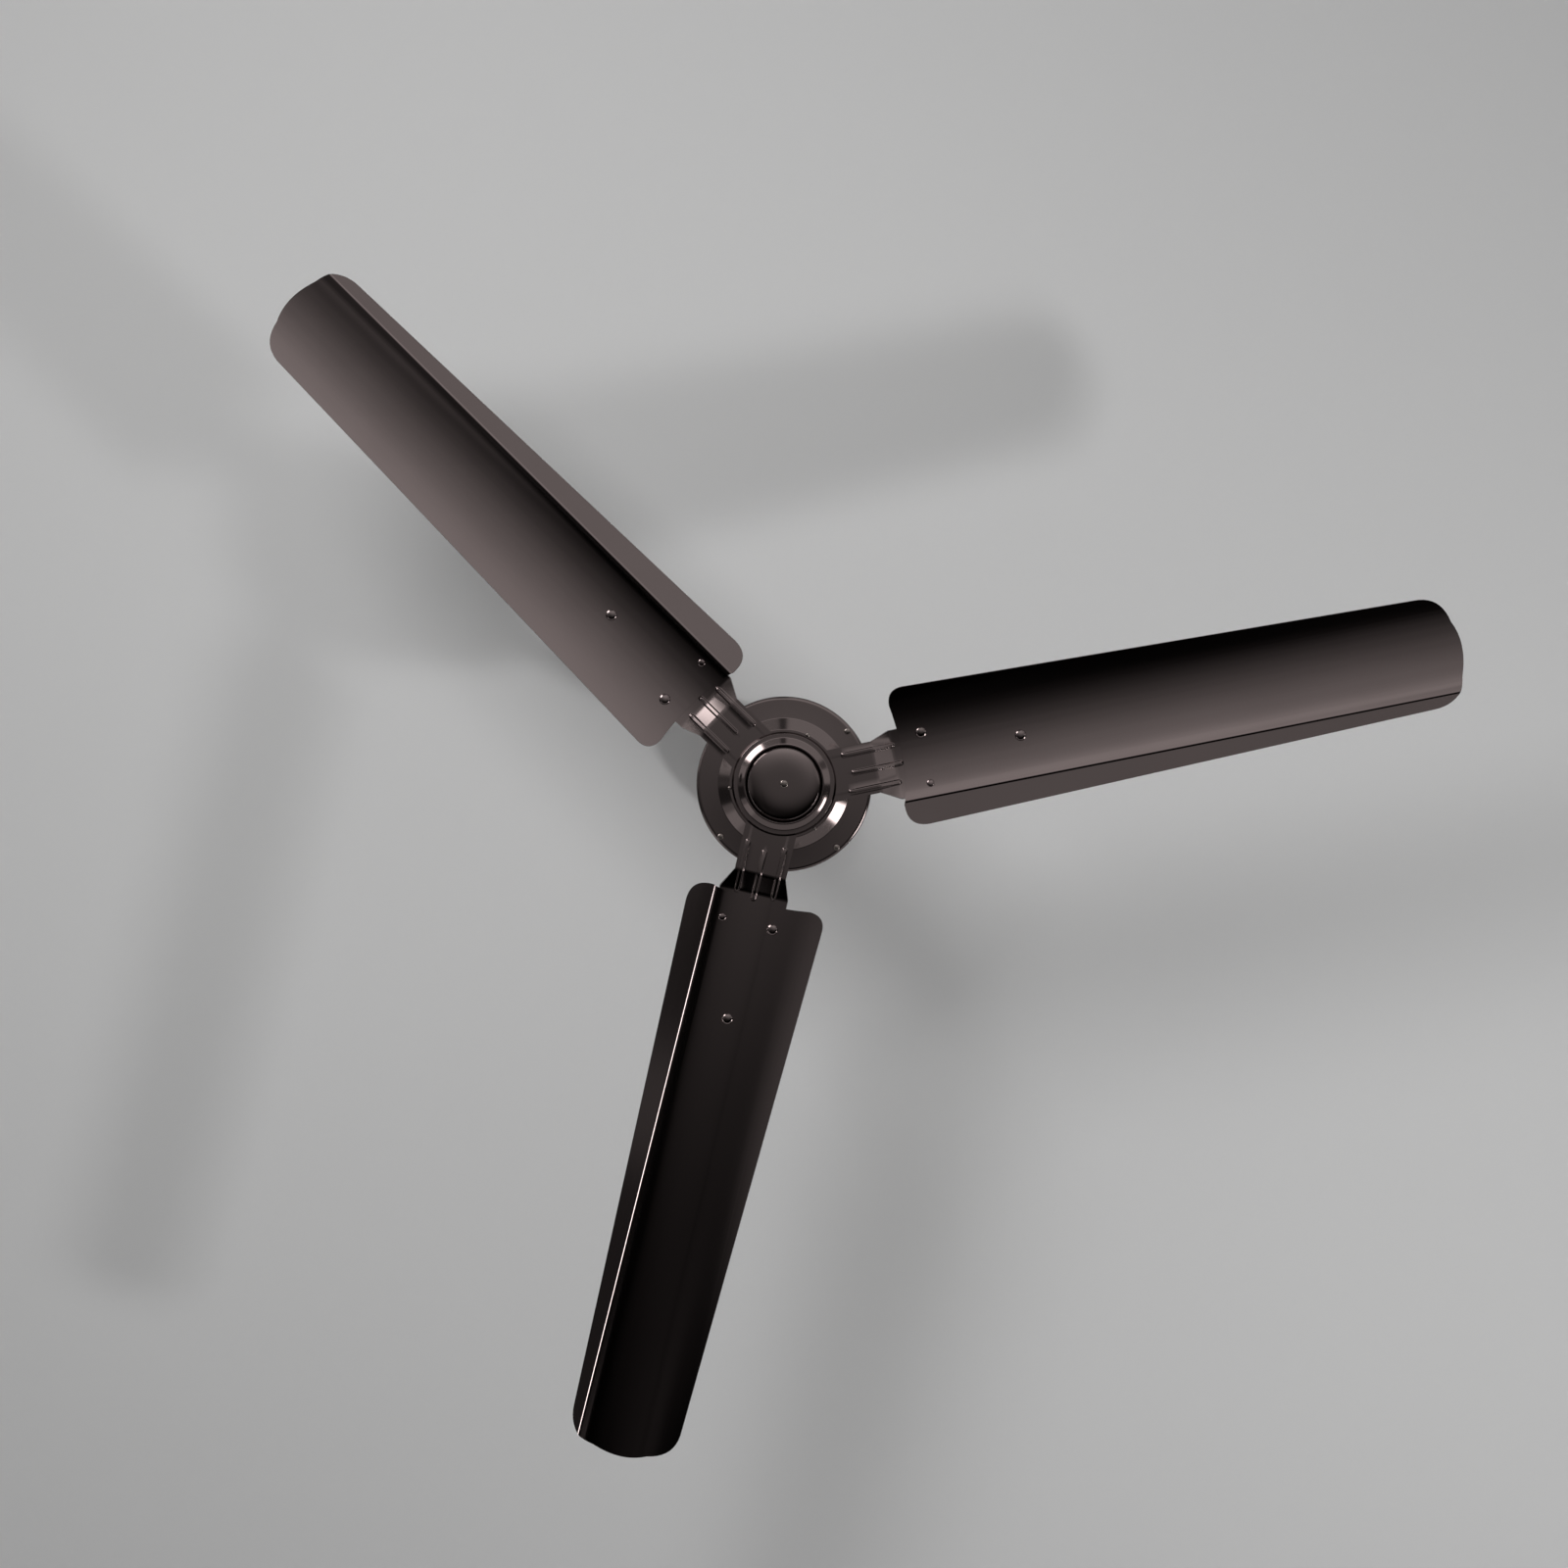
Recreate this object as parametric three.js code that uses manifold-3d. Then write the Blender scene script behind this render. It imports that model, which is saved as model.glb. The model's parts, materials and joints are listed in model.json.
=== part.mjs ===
// Three-blade ceiling fan on a downrod: a pressed-steel blade set under a closed external-rotor motor.
// Millimetres, +Z up. The origin is where the hanger bolt's axis crosses the fan's axis.

import * as THREE from 'three';
import { mergeVertices } from 'three/addons/utils/BufferGeometryUtils.js';
import Module from 'manifold-3d';

const wasm = await Module();
wasm.setup();

// Whole fan
const SWEEP_RADIUS = 600;
const BLADE_COUNT = 3;
const FIRST_BLADE_ANGLE = -14.57;
const BLADE_PLAY_ANGLES = [2.91, -1.04, -1.86];

// Clearances
const GAP = 0.3;
const PIVOT_GAP = 0.5;
const OVERRUN = 2;

// Facets of round pieces
const WIDE_STEPS = 24;
const MID_STEPS = 16;
const SCREW_STEPS = 8;
const HEX_STEPS = 6;
const CURVE_STEPS = 5;
const EDGE_STEPS = 3;
const CAMBER_STEPS = 9;
const CREASE_SHARES = [0.25, 0.5, 0.75, 1];
const WELD_DISTANCE = 0.00001;

// Hanger: rubber bobbin on the ceiling hook, and its bolt
const BOBBIN_LENGTH = 28;
const BOBBIN_RADIUS = 14;
const BOBBIN_GROOVE_RADIUS = 9.5;
const BOBBIN_FLANGE = 5;
const HANGER_BOLT_RADIUS = 5;
const HANGER_BOLT_TAIL = 7;
const SPLIT_PIN_RADIUS = 1.3;
const SPLIT_PIN_TAIL = 4;
const SPLIT_PIN_EYE_RADIUS = 2.8;
const SPLIT_PIN_LEG_ANGLE = 60;

// Shackle
const SHACKLE_STRIP = 4;
const SHACKLE_WIDTH = 26;
const SHACKLE_DROP = 36;
const SHACKLE_BEND = 7;
const SHACKLE_WIRE_HOLE_RADIUS = 7;
const SHACKLE_SOCKET_RADIUS = 14.5;
const SHACKLE_SOCKET_LENGTH = 27;

// Downrod and its two cross bolts
const ROD_RADIUS = 10.5;
const ROD_WALL = 2.3;
const ROD_LENGTH = 250;
const ROD_BOLT_INSET = 14;
const ROD_BOLT_RADIUS = 4;
const BOLT_HEAD_SHARE = 1.75;
const BOLT_HEAD_HEIGHT_SHARE = 1.3;
const NUT_TAIL = 3;

// Connector block on the shackle
const TERMINAL_HEIGHT = 16;
const TERMINAL_WIDTH = 20;
const TERMINAL_DEPTH = 11;
const TERMINAL_SLOT = 5;
const TERMINAL_BELOW_BOLT = 11;

// Run capacitor hung on the lower rod bolt
const CAPACITOR_HEIGHT = 14;
const CAPACITOR_WIDTH = 36;
const CAPACITOR_DEPTH = 16;
const CAPACITOR_LUG = 1.5;
const CAPACITOR_LUG_HALF_WIDTH = 6.5;
const CAPACITOR_BELOW_BOLT = 8.5;

// Canopies: thin bells that slide on the rod
const CANOPY_WALL = 1.4;
const CANOPY_COLLAR_RADIUS = 17;
const CANOPY_COLLAR_HEIGHT = 12;
const TOP_CANOPY_RADIUS = 60;
const TOP_CANOPY_HEADROOM = 4;
const TOP_CANOPY_RIM_ABOVE = 28;
const LOWER_CANOPY_RADIUS = 54;
const LOWER_CANOPY_HEADROOM = 18;
const LOWER_CANOPY_MOTOR_GAP = 6;
const SET_SCREW_RADIUS = 2;
const SET_SCREW_HEAD_RADIUS = 4;
const SET_SCREW_HEAD = 3;

// Motor shaft
const SHAFT_SOCKET_RADIUS = 15;
const SHAFT_SOCKET_DEPTH = 34;
const SHAFT_SOCKET_FLOOR = 4;
const SHAFT_NECK_RADIUS = 9.5;
const SHAFT_WIRE_BORE_RADIUS = 4;
const SHAFT_WIRE_BORE_DEPTH = 10;
const SHAFT_WIRE_EXIT_RADIUS = 3;
const SHAFT_ABOVE_MOTOR = 12;

// Motor housing
const MOTOR_RADIUS = 76.3;
const MOTOR_HEIGHT = 62;
const MOTOR_EDGE_ROUND = 3;
const MOTOR_SPLIT_ABOVE_BASE = 24;
const MOTOR_SHOULDER_ABOVE_BASE = 44;
const TOP_BOSS_RADIUS = 26;
const TOP_BOSS_HEIGHT = 4;
const SHAFT_HOLE_RADIUS = 10.5;
const COVER_WALL = 3.6;
const COVER_RIM_WALL = 7;
const CONE_BASE_RADIUS = 57.3;
const HUB_BOSS_RADIUS = 49;
const HUB_BOSS_HEIGHT = 8.6;
const HUB_FLOOR = 9;
const BEARING_BOX_WALL = 4.5;
const BEARING_BOX_HEIGHT = 14;
const CAP_STUD_RADIUS = 5;

// Ball bearings
const BEARING_BORE_RADIUS = 7.5;
const BEARING_RADIUS = 17.5;
const BEARING_WIDTH = 11;
const BEARING_RING = 2.7;
const BALL_CAGE_SHARE = 0.7;

// Stator and rotor inside
const STATOR_RADIUS = 58.2;
const STATOR_HEIGHT = 24;
const STATOR_ABOVE_BASE = 24;
const STATOR_SLOTS = 12;
const STATOR_SLOT_WIDTH = 6;
const STATOR_SLOT_DEPTH = 18;
const STATOR_HUB_RADIUS = 9;
const WINDING_INNER_RADIUS = 40;
const WINDING_RADIUS = 53;
const WINDING_END_HEIGHT = 7;
const AIR_GAP = 0.8;

// Housing screws, through the bottom cover's flat ring into the top cover
const COVER_SCREW_COUNT = 4;
const COVER_SCREW_ANGLE = -39.7;
const COVER_SCREW_CIRCLE = 71.6;
const COVER_SCREW_RADIUS = 1.6;
const COVER_SCREW_HEAD_RADIUS = 2.6;
const COVER_SCREW_HEAD = 1.6;
const COVER_SCREW_LENGTH = 30;

// Blade bracket: pressed strap with a joggle, a flare and three beads
const BRACKET_THICKNESS = 2.5;
const BRACKET_ROOT_RADIUS = 21;
const BRACKET_CW_EDGE = 21;
const BRACKET_CCW_EDGE = 24.3;
const FLARE_CW_EDGE = 27;
const FLARE_CCW_EDGE = 33;
const JOGGLE_START_RADIUS = 81;
const JOGGLE_END_RADIUS = 98;
const JOGGLE_RISE = 8;
const FLARE_END_RADIUS = 136;
const TONGUE_END_RADIUS = 222;
const TONGUE_HALF_WIDTH = 12.5;
const BEAD_WIDTH = 7.2;
const BEAD_DEPTH = 1.7;
const BEAD_CREST_SHARE = 0.42;
const BEAD_END_RUN = 3.6;
const CW_BEAD_SIDE = -14;
const MIDDLE_BEAD_SIDE = 2.6;
const CCW_BEAD_SIDE = 18.4;
const OUTER_BEAD_START = 53;
const OUTER_BEAD_END = 101;
const MIDDLE_BEAD_START = 59;
const MIDDLE_BEAD_END = 105.5;
const BRACKET_SCREW_CIRCLE = 33;
const BRACKET_SCREW_SIDE = 12;
const BRACKET_SCREW_RADIUS = 2.5;
const BRACKET_SCREW_HEAD_RADIUS = 4.3;
const BRACKET_SCREW_HEAD = 2.6;
const BRACKET_SCREW_LENGTH = 7;

// Blade: cambered sheet with one long edge folded up
const BLADE_THICKNESS = 1.2;
const BLADE_ROOT_RADIUS = 102.5;
const BLADE_ROOT_CCW_RADIUS = 98.5;
const BLADE_ROOT_BOW = 5;
const BLADE_CAMBER_RADIUS = 142;
const BLADE_CREST_SIDE = -2;
const CREASE_ROOT_SIDE = 36.4;
const CREASE_TIP_SIDE = 40;
const CREASE_ROUND = 3;
const CREASE_LIFT_SHARE = 0.25;
const FLANGE_ANGLE = 38;
const BLADE_ROOT_CCW_EDGE = 59.6;
const BLADE_ROOT_CW_EDGE = 61.5;
const BLADE_TIP_CCW_EDGE = 50.8;
const BLADE_TIP_CW_EDGE = 45.1;
const BLADE_ROOT_CORNER = 14;
const BLADE_TIP_CORNER = 24;
const BLADE_TIP_BOW = 11;

// Rivets from blade to bracket: two large ones, the outer of them at the tongue's end, and a small one
const RIVET_RADIUS = 2.4;
const RIVET_HEAD_RADIUS = 4.9;
const RIVET_HEAD = 2.3;
const SMALL_RIVET_RADIUS = 1.7;
const SMALL_RIVET_HEAD_RADIUS = 3.3;
const SMALL_RIVET_HEAD = 1.6;
const RIVET_A_RADIUS = 125.2;
const RIVET_A_SIDE = -19.7;
const RIVET_C_RADIUS = 124.5;
const RIVET_C_SIDE = 24.8;

// Trim ring, its screws, and the hub cap
const TRIM_RADIUS = 45;
const TRIM_WALL = 1.2;
const TRIM_SKIRT = 4.6;
const TRIM_BEAD_RADIUS = 37.6;
const TRIM_BEAD_HALF_WIDTH = 3.2;
const TRIM_BEAD_HEIGHT = 2.6;
const TRIM_LIP_RADIUS = 27;
const TRIM_SCREW_COUNT = 3;
const TRIM_SCREW_ANGLE = -64.3;
const TRIM_SCREW_CIRCLE = 47;
const TRIM_SCREW_RADIUS = 0.9;
const TRIM_SCREW_HEAD_RADIUS = 1.6;
const TRIM_SCREW_HEAD = 1.2;
const TRIM_SCREW_LENGTH = 4;
const CAP_RADIUS = 33.2;
const CAP_DOME = 2.5;
const CAP_DOME_POWER = 4.8;
const CAP_WALL = 1.6;
const CAP_RIM = 4.3;
const CAP_EDGE = 1.5;
const CAP_FLAT_SHARE = 0.5;
const CAP_SCREW_RADIUS = 1.6;
const CAP_SCREW_HEAD_RADIUS = 3.3;
const CAP_SCREW_HEAD = 1.8;
const CAP_SCREW_LENGTH = 10;

// Shapes of a domed head and of a rivet's upset tail, as shares of the head's radius and height
const DOME_SHARES = [[0, 1], [0.7, 0.75], [1, 0]];
const UPSET_SHARES = [[0.9, 0], [0.6, 0.5], [0, 0.5]];

// Heights that follow from the sizes above
const bridgeTop = -SHACKLE_DROP;
const bridgeBottom = bridgeTop - SHACKLE_STRIP;
const rodTop = bridgeBottom - GAP;
const rodBottom = rodTop - ROD_LENGTH;
const rodUpperBoltZ = rodTop - ROD_BOLT_INSET;
const rodLowerBoltZ = rodBottom + ROD_BOLT_INSET;
const shaftSocketFloorTop = rodBottom - GAP;
const shaftSocketBottom = shaftSocketFloorTop - SHAFT_SOCKET_FLOOR;
const shaftSocketTop = shaftSocketFloorTop + SHAFT_SOCKET_DEPTH;
const motorTop = shaftSocketBottom - SHAFT_ABOVE_MOTOR;
const motorBase = motorTop - MOTOR_HEIGHT;
const motorSplit = motorBase + MOTOR_SPLIT_ABOVE_BASE;
const motorShoulder = motorBase + MOTOR_SHOULDER_ABOVE_BASE;
const hubBase = motorBase - HUB_BOSS_HEIGHT;
const bracketTop = hubBase - GAP;
const bracketUnder = bracketTop - BRACKET_THICKNESS;
const bladeCrestTop = bracketUnder + JOGGLE_RISE - GAP;
const statorMiddle = motorBase + STATOR_ABOVE_BASE;
const shackleSocketBottom = bridgeBottom - SHACKLE_SOCKET_LENGTH;
const topCanopyHeight = TOP_CANOPY_RIM_ABOVE - shackleSocketBottom + TOP_CANOPY_HEADROOM;
const lowerCanopyRim = motorTop + LOWER_CANOPY_MOTOR_GAP;
const lowerCanopyHeight = shaftSocketTop + LOWER_CANOPY_HEADROOM - lowerCanopyRim;

// Places across the shackle and the motor that follow in the same way
const shackleInner = BOBBIN_LENGTH / 2 + PIVOT_GAP;
const shackleOuter = shackleInner + SHACKLE_STRIP;
const coverInnerRadius = MOTOR_RADIUS - COVER_RIM_WALL;
const rotorInnerRadius = STATOR_RADIUS + AIR_GAP;
const bearingInnerRingRadius = BEARING_BORE_RADIUS + BEARING_RING;
const bearingOuterRingInner = BEARING_RADIUS - BEARING_RING;
const bearingBoxRadius = BEARING_RADIUS + GAP;
const bearingSeatRadius = BEARING_BORE_RADIUS - GAP;
const upperBearingTop = motorTop - COVER_WALL - GAP;
const lowerBearingBottom = hubBase + COVER_WALL + GAP;

// Solids

/** Merges shared vertices, drops slivers of no area and turns the faces outwards. */
function closed(geometry) {
  const bare = geometry.clone();
  bare.deleteAttribute('normal');
  bare.deleteAttribute('uv');
  const merged = mergeVertices(bare, WELD_DISTANCE);
  const place = merged.attributes.position;
  const index = merged.index.array;
  const kept = [];
  let volume = 0;
  const [a, b, c] = [new THREE.Vector3(), new THREE.Vector3(), new THREE.Vector3()];
  for (let i = 0; i < index.length; i += 3) {
    const [p, q, r] = [index[i], index[i + 1], index[i + 2]];
    if (p === q || q === r || r === p) {
      continue;
    }
    kept.push(p, q, r);
    a.fromBufferAttribute(place, p);
    b.fromBufferAttribute(place, q);
    c.fromBufferAttribute(place, r);
    volume += a.dot(b.cross(c));
  }
  if (volume < 0) {
    kept.reverse();
  }
  const result = new THREE.BufferGeometry();
  result.setAttribute('position', place);
  result.setIndex(kept);
  return result;
}

/** Turns a closed geometry into a solid that can be joined and cut. */
function solid(geometry) {
  const shape = closed(geometry);
  const vertProperties = new Float32Array(shape.attributes.position.array);
  const triVerts = new Uint32Array(shape.index.array);
  return new wasm.Manifold(new wasm.Mesh({ numProp: 3, vertProperties, triVerts }));
}

/** Turns a solid back into a geometry. */
function geometryOf(shape) {
  const { vertProperties, triVerts } = shape.getMesh();
  const geometry = new THREE.BufferGeometry();
  geometry.setAttribute('position', new THREE.BufferAttribute(vertProperties, 3));
  geometry.setIndex(new THREE.BufferAttribute(triVerts, 1));
  return geometry;
}

/** Takes cutters out of a solid. */
const cut = (body, cutters) => cutters.reduce((rest, cutter) => rest.subtract(cutter), body);

/** Revolves a closed [radius, height] outline about Z. */
function revolved(outline, steps = WIDE_STEPS) {
  const points = [...outline, outline[0]].map((point) => new THREE.Vector2(...point));
  return new THREE.LatheGeometry(points, steps).rotateX(Math.PI / 2);
}

/** Extrudes a flat outline of THREE.Shape from one height to another. */
function prism(shape, bottom, top, curveSegments = CURVE_STEPS) {
  const depth = top - bottom;
  const geometry = new THREE.ExtrudeGeometry(shape, { depth, bevelEnabled: false, curveSegments });
  return geometry.translate(0, 0, bottom);
}

/** A round bar along Z between two heights. */
function bar(radius, bottom, top, steps = SCREW_STEPS) {
  const cylinder = new THREE.CylinderGeometry(radius, radius, top - bottom, steps);
  return cylinder.rotateX(Math.PI / 2).translate(0, 0, (top + bottom) / 2);
}

/** A ring of rectangular section about Z. */
function ring(inner, outer, bottom, top, steps = WIDE_STEPS) {
  return revolved([[inner, bottom], [outer, bottom], [outer, top], [inner, top]], steps);
}

/** Thickens an open [radius, height] line by a wall on its left-hand side and closes it. */
function walled(line, wall) {
  const last = line.length - 1;
  const other = line.map(([radius, height], i) => {
    const before = line[Math.max(i - 1, 0)];
    const after = line[Math.min(i + 1, last)];
    const into = new THREE.Vector2(radius - before[0], height - before[1]).normalize();
    const out = new THREE.Vector2(after[0] - radius, after[1] - height).normalize();
    if (i === 0) {
      into.copy(out);
    }
    if (i === last) {
      out.copy(into);
    }
    const mitre = into.clone().add(out).normalize();
    const reach = wall / mitre.dot(out);
    return [radius - mitre.y * reach, height + mitre.x * reach];
  });
  return [...line, ...other.reverse()];
}

/** Points of a quarter curve from an outer radius in to an inner one, rising as it goes. */
function shoulder(outer, inner, start, rise, steps) {
  return Array.from({ length: steps + 1 }, (_, i) => {
    const angle = (i / steps) * Math.PI / 2;
    return [inner + (outer - inner) * Math.cos(angle), start + rise * Math.sin(angle)];
  });
}

/** A domed screw or rivet pointing up from its seat at height zero: its dome hangs below. */
function domedScrew(shankRadius, length, headRadius, headHeight) {
  const dome = DOME_SHARES.map(([across, down]) => [headRadius * across, -headHeight * down]);
  return revolved([...dome, [shankRadius, 0], [shankRadius, length], [0, length]], SCREW_STEPS);
}

/** A sheet on a grid of places: height gives its under face, thickness its wall. */
function pressedSheet(runs, sides, under, thickness) {
  const positions = [];
  const faces = [];
  const rows = runs.length;
  const columns = sides.length;
  for (const lift of [0, thickness]) {
    for (const run of runs) {
      for (const side of sides) {
        positions.push(run, side(run), under(run, side(run)) + lift);
      }
    }
  }
  const upper = rows * columns;
  const quad = (a, b, c, d) => faces.push(a, b, c, a, c, d);
  const at = (row, column) => row * columns + column;
  for (let i = 0; i + 1 < rows; i++) {
    for (let j = 0; j + 1 < columns; j++) {
      const [a, b, c, d] = [at(i, j), at(i + 1, j), at(i + 1, j + 1), at(i, j + 1)];
      quad(a, d, c, b);
      quad(a + upper, b + upper, c + upper, d + upper);
    }
  }
  const border = [];
  for (let i = 0; i < rows; i++) {
    border.push(at(i, 0));
  }
  for (let j = 1; j < columns; j++) {
    border.push(at(rows - 1, j));
  }
  for (let i = rows - 2; i >= 0; i--) {
    border.push(at(i, columns - 1));
  }
  for (let j = columns - 2; j > 0; j--) {
    border.push(at(0, j));
  }
  border.forEach((a, i) => {
    const b = border[(i + 1) % border.length];
    quad(a, b, b + upper, a + upper);
  });
  const geometry = new THREE.BufferGeometry();
  geometry.setAttribute('position', new THREE.Float32BufferAttribute(positions, 3));
  geometry.setIndex(faces);
  return geometry;
}

// Finishes
const finish = (color, roughness, metalness) =>
  new THREE.MeshStandardMaterial({ color, roughness, metalness });
const paintedMetal = () => finish(0x3e3838, 0.36, 0.75);
const paintedCast = () => finish(0x3f3939, 0.38, 0.7);
const steel = () => finish(0x8d8f92, 0.35, 1);
const laminated = () => finish(0x55585c, 0.5, 0.9);
const copper = () => finish(0xa8592c, 0.4, 0.9);
const rubber = () => finish(0x1b1b1c, 0.8, 0);
const plastic = () => finish(0xd9d6cd, 0.6, 0);

const fan = new THREE.Group();

/** Names a piece and adds it to a group of the fan. */
function add(name, geometry, material, group = fan) {
  const mesh = new THREE.Mesh(closed(geometry), material);
  mesh.name = name;
  group.add(mesh);
  return mesh;
}

/** A group turned about Z. */
function turned(degrees, group = fan) {
  const result = new THREE.Group();
  result.rotation.z = THREE.MathUtils.degToRad(degrees);
  group.add(result);
  return result;
}

// Bolts through the rod and the shackle

/** Sizes of a cross bolt that clamps a given half width, with a plate of some packing under its nut. */
function boltSizes(radius, grip, tail, packing = 0) {
  const head = radius * BOLT_HEAD_HEIGHT_SHARE;
  const seat = grip + GAP;
  const nutSeat = seat + packing;
  const headRadius = radius * BOLT_HEAD_SHARE;
  return { radius, seat, nutSeat, head, headRadius, tip: nutSeat + head + tail };
}

/** A hexagon-head bolt along X, with its head on the negative side. */
function hexBolt({ radius, seat, head, headRadius, tip }) {
  const shank = solid(bar(radius, -seat - head / 2, tip, SCREW_STEPS));
  const hexagon = solid(bar(headRadius, -seat - head, -seat, HEX_STEPS));
  return geometryOf(shank.add(hexagon)).rotateY(Math.PI / 2);
}

/** The nut of a cross bolt, on its positive side. */
function hexNut({ radius, nutSeat, head, headRadius }) {
  const body = solid(bar(headRadius, nutSeat, nutSeat + head, HEX_STEPS));
  const bore = solid(bar(radius + GAP, nutSeat - OVERRUN, nutSeat + head + OVERRUN, SCREW_STEPS));
  return geometryOf(body.subtract(bore)).rotateY(Math.PI / 2);
}

/** A round cutter along X that reaches past a half width. */
function crossHole(radius, half, height, steps = SCREW_STEPS) {
  return solid(bar(radius, -half, half, steps).rotateY(Math.PI / 2).translate(0, 0, height));
}

// Hanger

const hangerBolt = boltSizes(HANGER_BOLT_RADIUS, shackleOuter, HANGER_BOLT_TAIL);
const upperRodBolt = boltSizes(ROD_BOLT_RADIUS, SHACKLE_SOCKET_RADIUS, NUT_TAIL);
const lowerRodBolt = boltSizes(ROD_BOLT_RADIUS, SHAFT_SOCKET_RADIUS, NUT_TAIL, CAPACITOR_LUG + GAP);
const splitPinX = hangerBolt.tip - HANGER_BOLT_TAIL / 2;

function bobbin() {
  const half = BOBBIN_LENGTH / 2;
  const groove = half - BOBBIN_FLANGE;
  const bore = HANGER_BOLT_RADIUS + GAP;
  const easing = BOBBIN_FLANGE / 2;
  const outline = [
    [bore, -half], [BOBBIN_RADIUS, -half], [BOBBIN_RADIUS, -half + easing],
    [BOBBIN_GROOVE_RADIUS, -groove], [BOBBIN_GROOVE_RADIUS, groove],
    [BOBBIN_RADIUS, half - easing], [BOBBIN_RADIUS, half], [bore, half],
  ];
  return revolved(outline, MID_STEPS).rotateY(Math.PI / 2);
}

/** U-shaped strap across X with round arm ends, and the socket for the rod below its bridge. */
function shackle() {
  const arms = new THREE.Shape();
  const half = SHACKLE_WIDTH / 2;
  const armTop = half + OVERRUN;
  const innerBend = SHACKLE_BEND - SHACKLE_STRIP;
  const bendX = shackleOuter - SHACKLE_BEND;
  const bendZ = bridgeBottom + SHACKLE_BEND;
  arms.moveTo(-shackleOuter, armTop);
  arms.lineTo(-shackleOuter, bendZ);
  arms.absarc(-bendX, bendZ, SHACKLE_BEND, -Math.PI, -Math.PI / 2);
  arms.absarc(bendX, bendZ, SHACKLE_BEND, -Math.PI / 2, 0);
  arms.lineTo(shackleOuter, armTop);
  arms.lineTo(shackleInner, armTop);
  arms.absarc(bendX, bendZ, innerBend, 0, -Math.PI / 2, true);
  arms.absarc(-bendX, bendZ, innerBend, -Math.PI / 2, -Math.PI, true);
  arms.lineTo(-shackleInner, armTop);
  const strap = solid(prism(arms, -half, half, EDGE_STEPS).rotateX(Math.PI / 2));
  const face = new THREE.Shape();
  face.moveTo(-half, bridgeBottom - OVERRUN);
  face.lineTo(half, bridgeBottom - OVERRUN);
  face.absarc(0, 0, half, 0, Math.PI);
  const reach = shackleOuter + OVERRUN;
  const sideOn = new THREE.Matrix4().makeBasis(
    new THREE.Vector3(0, 1, 0), new THREE.Vector3(0, 0, 1), new THREE.Vector3(1, 0, 0));
  const rounding = solid(prism(face, -reach, reach).applyMatrix4(sideOn));
  const tube = [ROD_RADIUS + GAP, SHACKLE_SOCKET_RADIUS, shackleSocketBottom, bridgeBottom + GAP];
  const socket = solid(ring(...tube, MID_STEPS));
  const wireHole = solid(
    bar(SHACKLE_WIRE_HOLE_RADIUS, bridgeBottom - OVERRUN, bridgeTop + OVERRUN, MID_STEPS));
  return geometryOf(strap.intersect(rounding).subtract(wireHole).add(socket)
    .subtract(crossHole(HANGER_BOLT_RADIUS + GAP, reach, 0, MID_STEPS))
    .subtract(crossHole(ROD_BOLT_RADIUS + GAP, SHACKLE_SOCKET_RADIUS + OVERRUN, rodUpperBoltZ)));
}

/** The hanger bolt, drilled near its tip for the split pin. */
function drilledHangerBolt() {
  const reach = HANGER_BOLT_RADIUS + OVERRUN;
  const hole = bar(SPLIT_PIN_RADIUS + GAP, -reach, reach);
  return geometryOf(solid(hexBolt(hangerBolt)).subtract(solid(hole.translate(splitPinX, 0, 0))));
}

/** A split pin standing in the bolt: an eye above, a shank and a tail bent to one side. */
function splitPin() {
  const eye = HANGER_BOLT_RADIUS + GAP;
  const tail = HANGER_BOLT_RADIUS + SPLIT_PIN_TAIL;
  const shank = solid(bar(SPLIT_PIN_RADIUS, -tail, eye + SPLIT_PIN_EYE_RADIUS));
  const torus = new THREE.TorusGeometry(SPLIT_PIN_EYE_RADIUS, SPLIT_PIN_RADIUS, HEX_STEPS, SCREW_STEPS);
  const loop = solid(torus.rotateX(Math.PI / 2)
    .translate(0, 0, eye + SPLIT_PIN_EYE_RADIUS + SPLIT_PIN_RADIUS));
  const leg = solid(bar(SPLIT_PIN_RADIUS, 0, SPLIT_PIN_TAIL)
    .rotateY(THREE.MathUtils.degToRad(SPLIT_PIN_LEG_ANGLE)).translate(0, 0, -tail));
  return geometryOf(shank.add(loop).add(leg)).translate(splitPinX, 0, 0);
}

function downrod() {
  const tube = solid(ring(ROD_RADIUS - ROD_WALL, ROD_RADIUS, rodBottom, rodTop, MID_STEPS));
  return geometryOf(tube
    .subtract(crossHole(ROD_BOLT_RADIUS + GAP, ROD_RADIUS + OVERRUN, rodUpperBoltZ))
    .subtract(crossHole(ROD_BOLT_RADIUS + GAP, ROD_RADIUS + OVERRUN, rodLowerBoltZ)));
}

/** The connector block against the outside of a shackle arm, with its two wire slots. */
function terminalBlock() {
  const inner = shackleOuter + GAP;
  const top = -TERMINAL_BELOW_BOLT;
  const block = solid(new THREE.BoxGeometry(TERMINAL_DEPTH, TERMINAL_WIDTH, TERMINAL_HEIGHT)
    .translate(-inner - TERMINAL_DEPTH / 2, 0, top - TERMINAL_HEIGHT / 2));
  const slotMiddle = top + TERMINAL_HEIGHT / 2 - TERMINAL_SLOT;
  const slots = [-1, 1].map((side) => solid(
    new THREE.BoxGeometry(TERMINAL_SLOT, TERMINAL_SLOT, TERMINAL_HEIGHT)
      .translate(-inner - TERMINAL_DEPTH / 2, side * TERMINAL_SLOT, slotMiddle)));
  return geometryOf(cut(block, slots));
}

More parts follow.
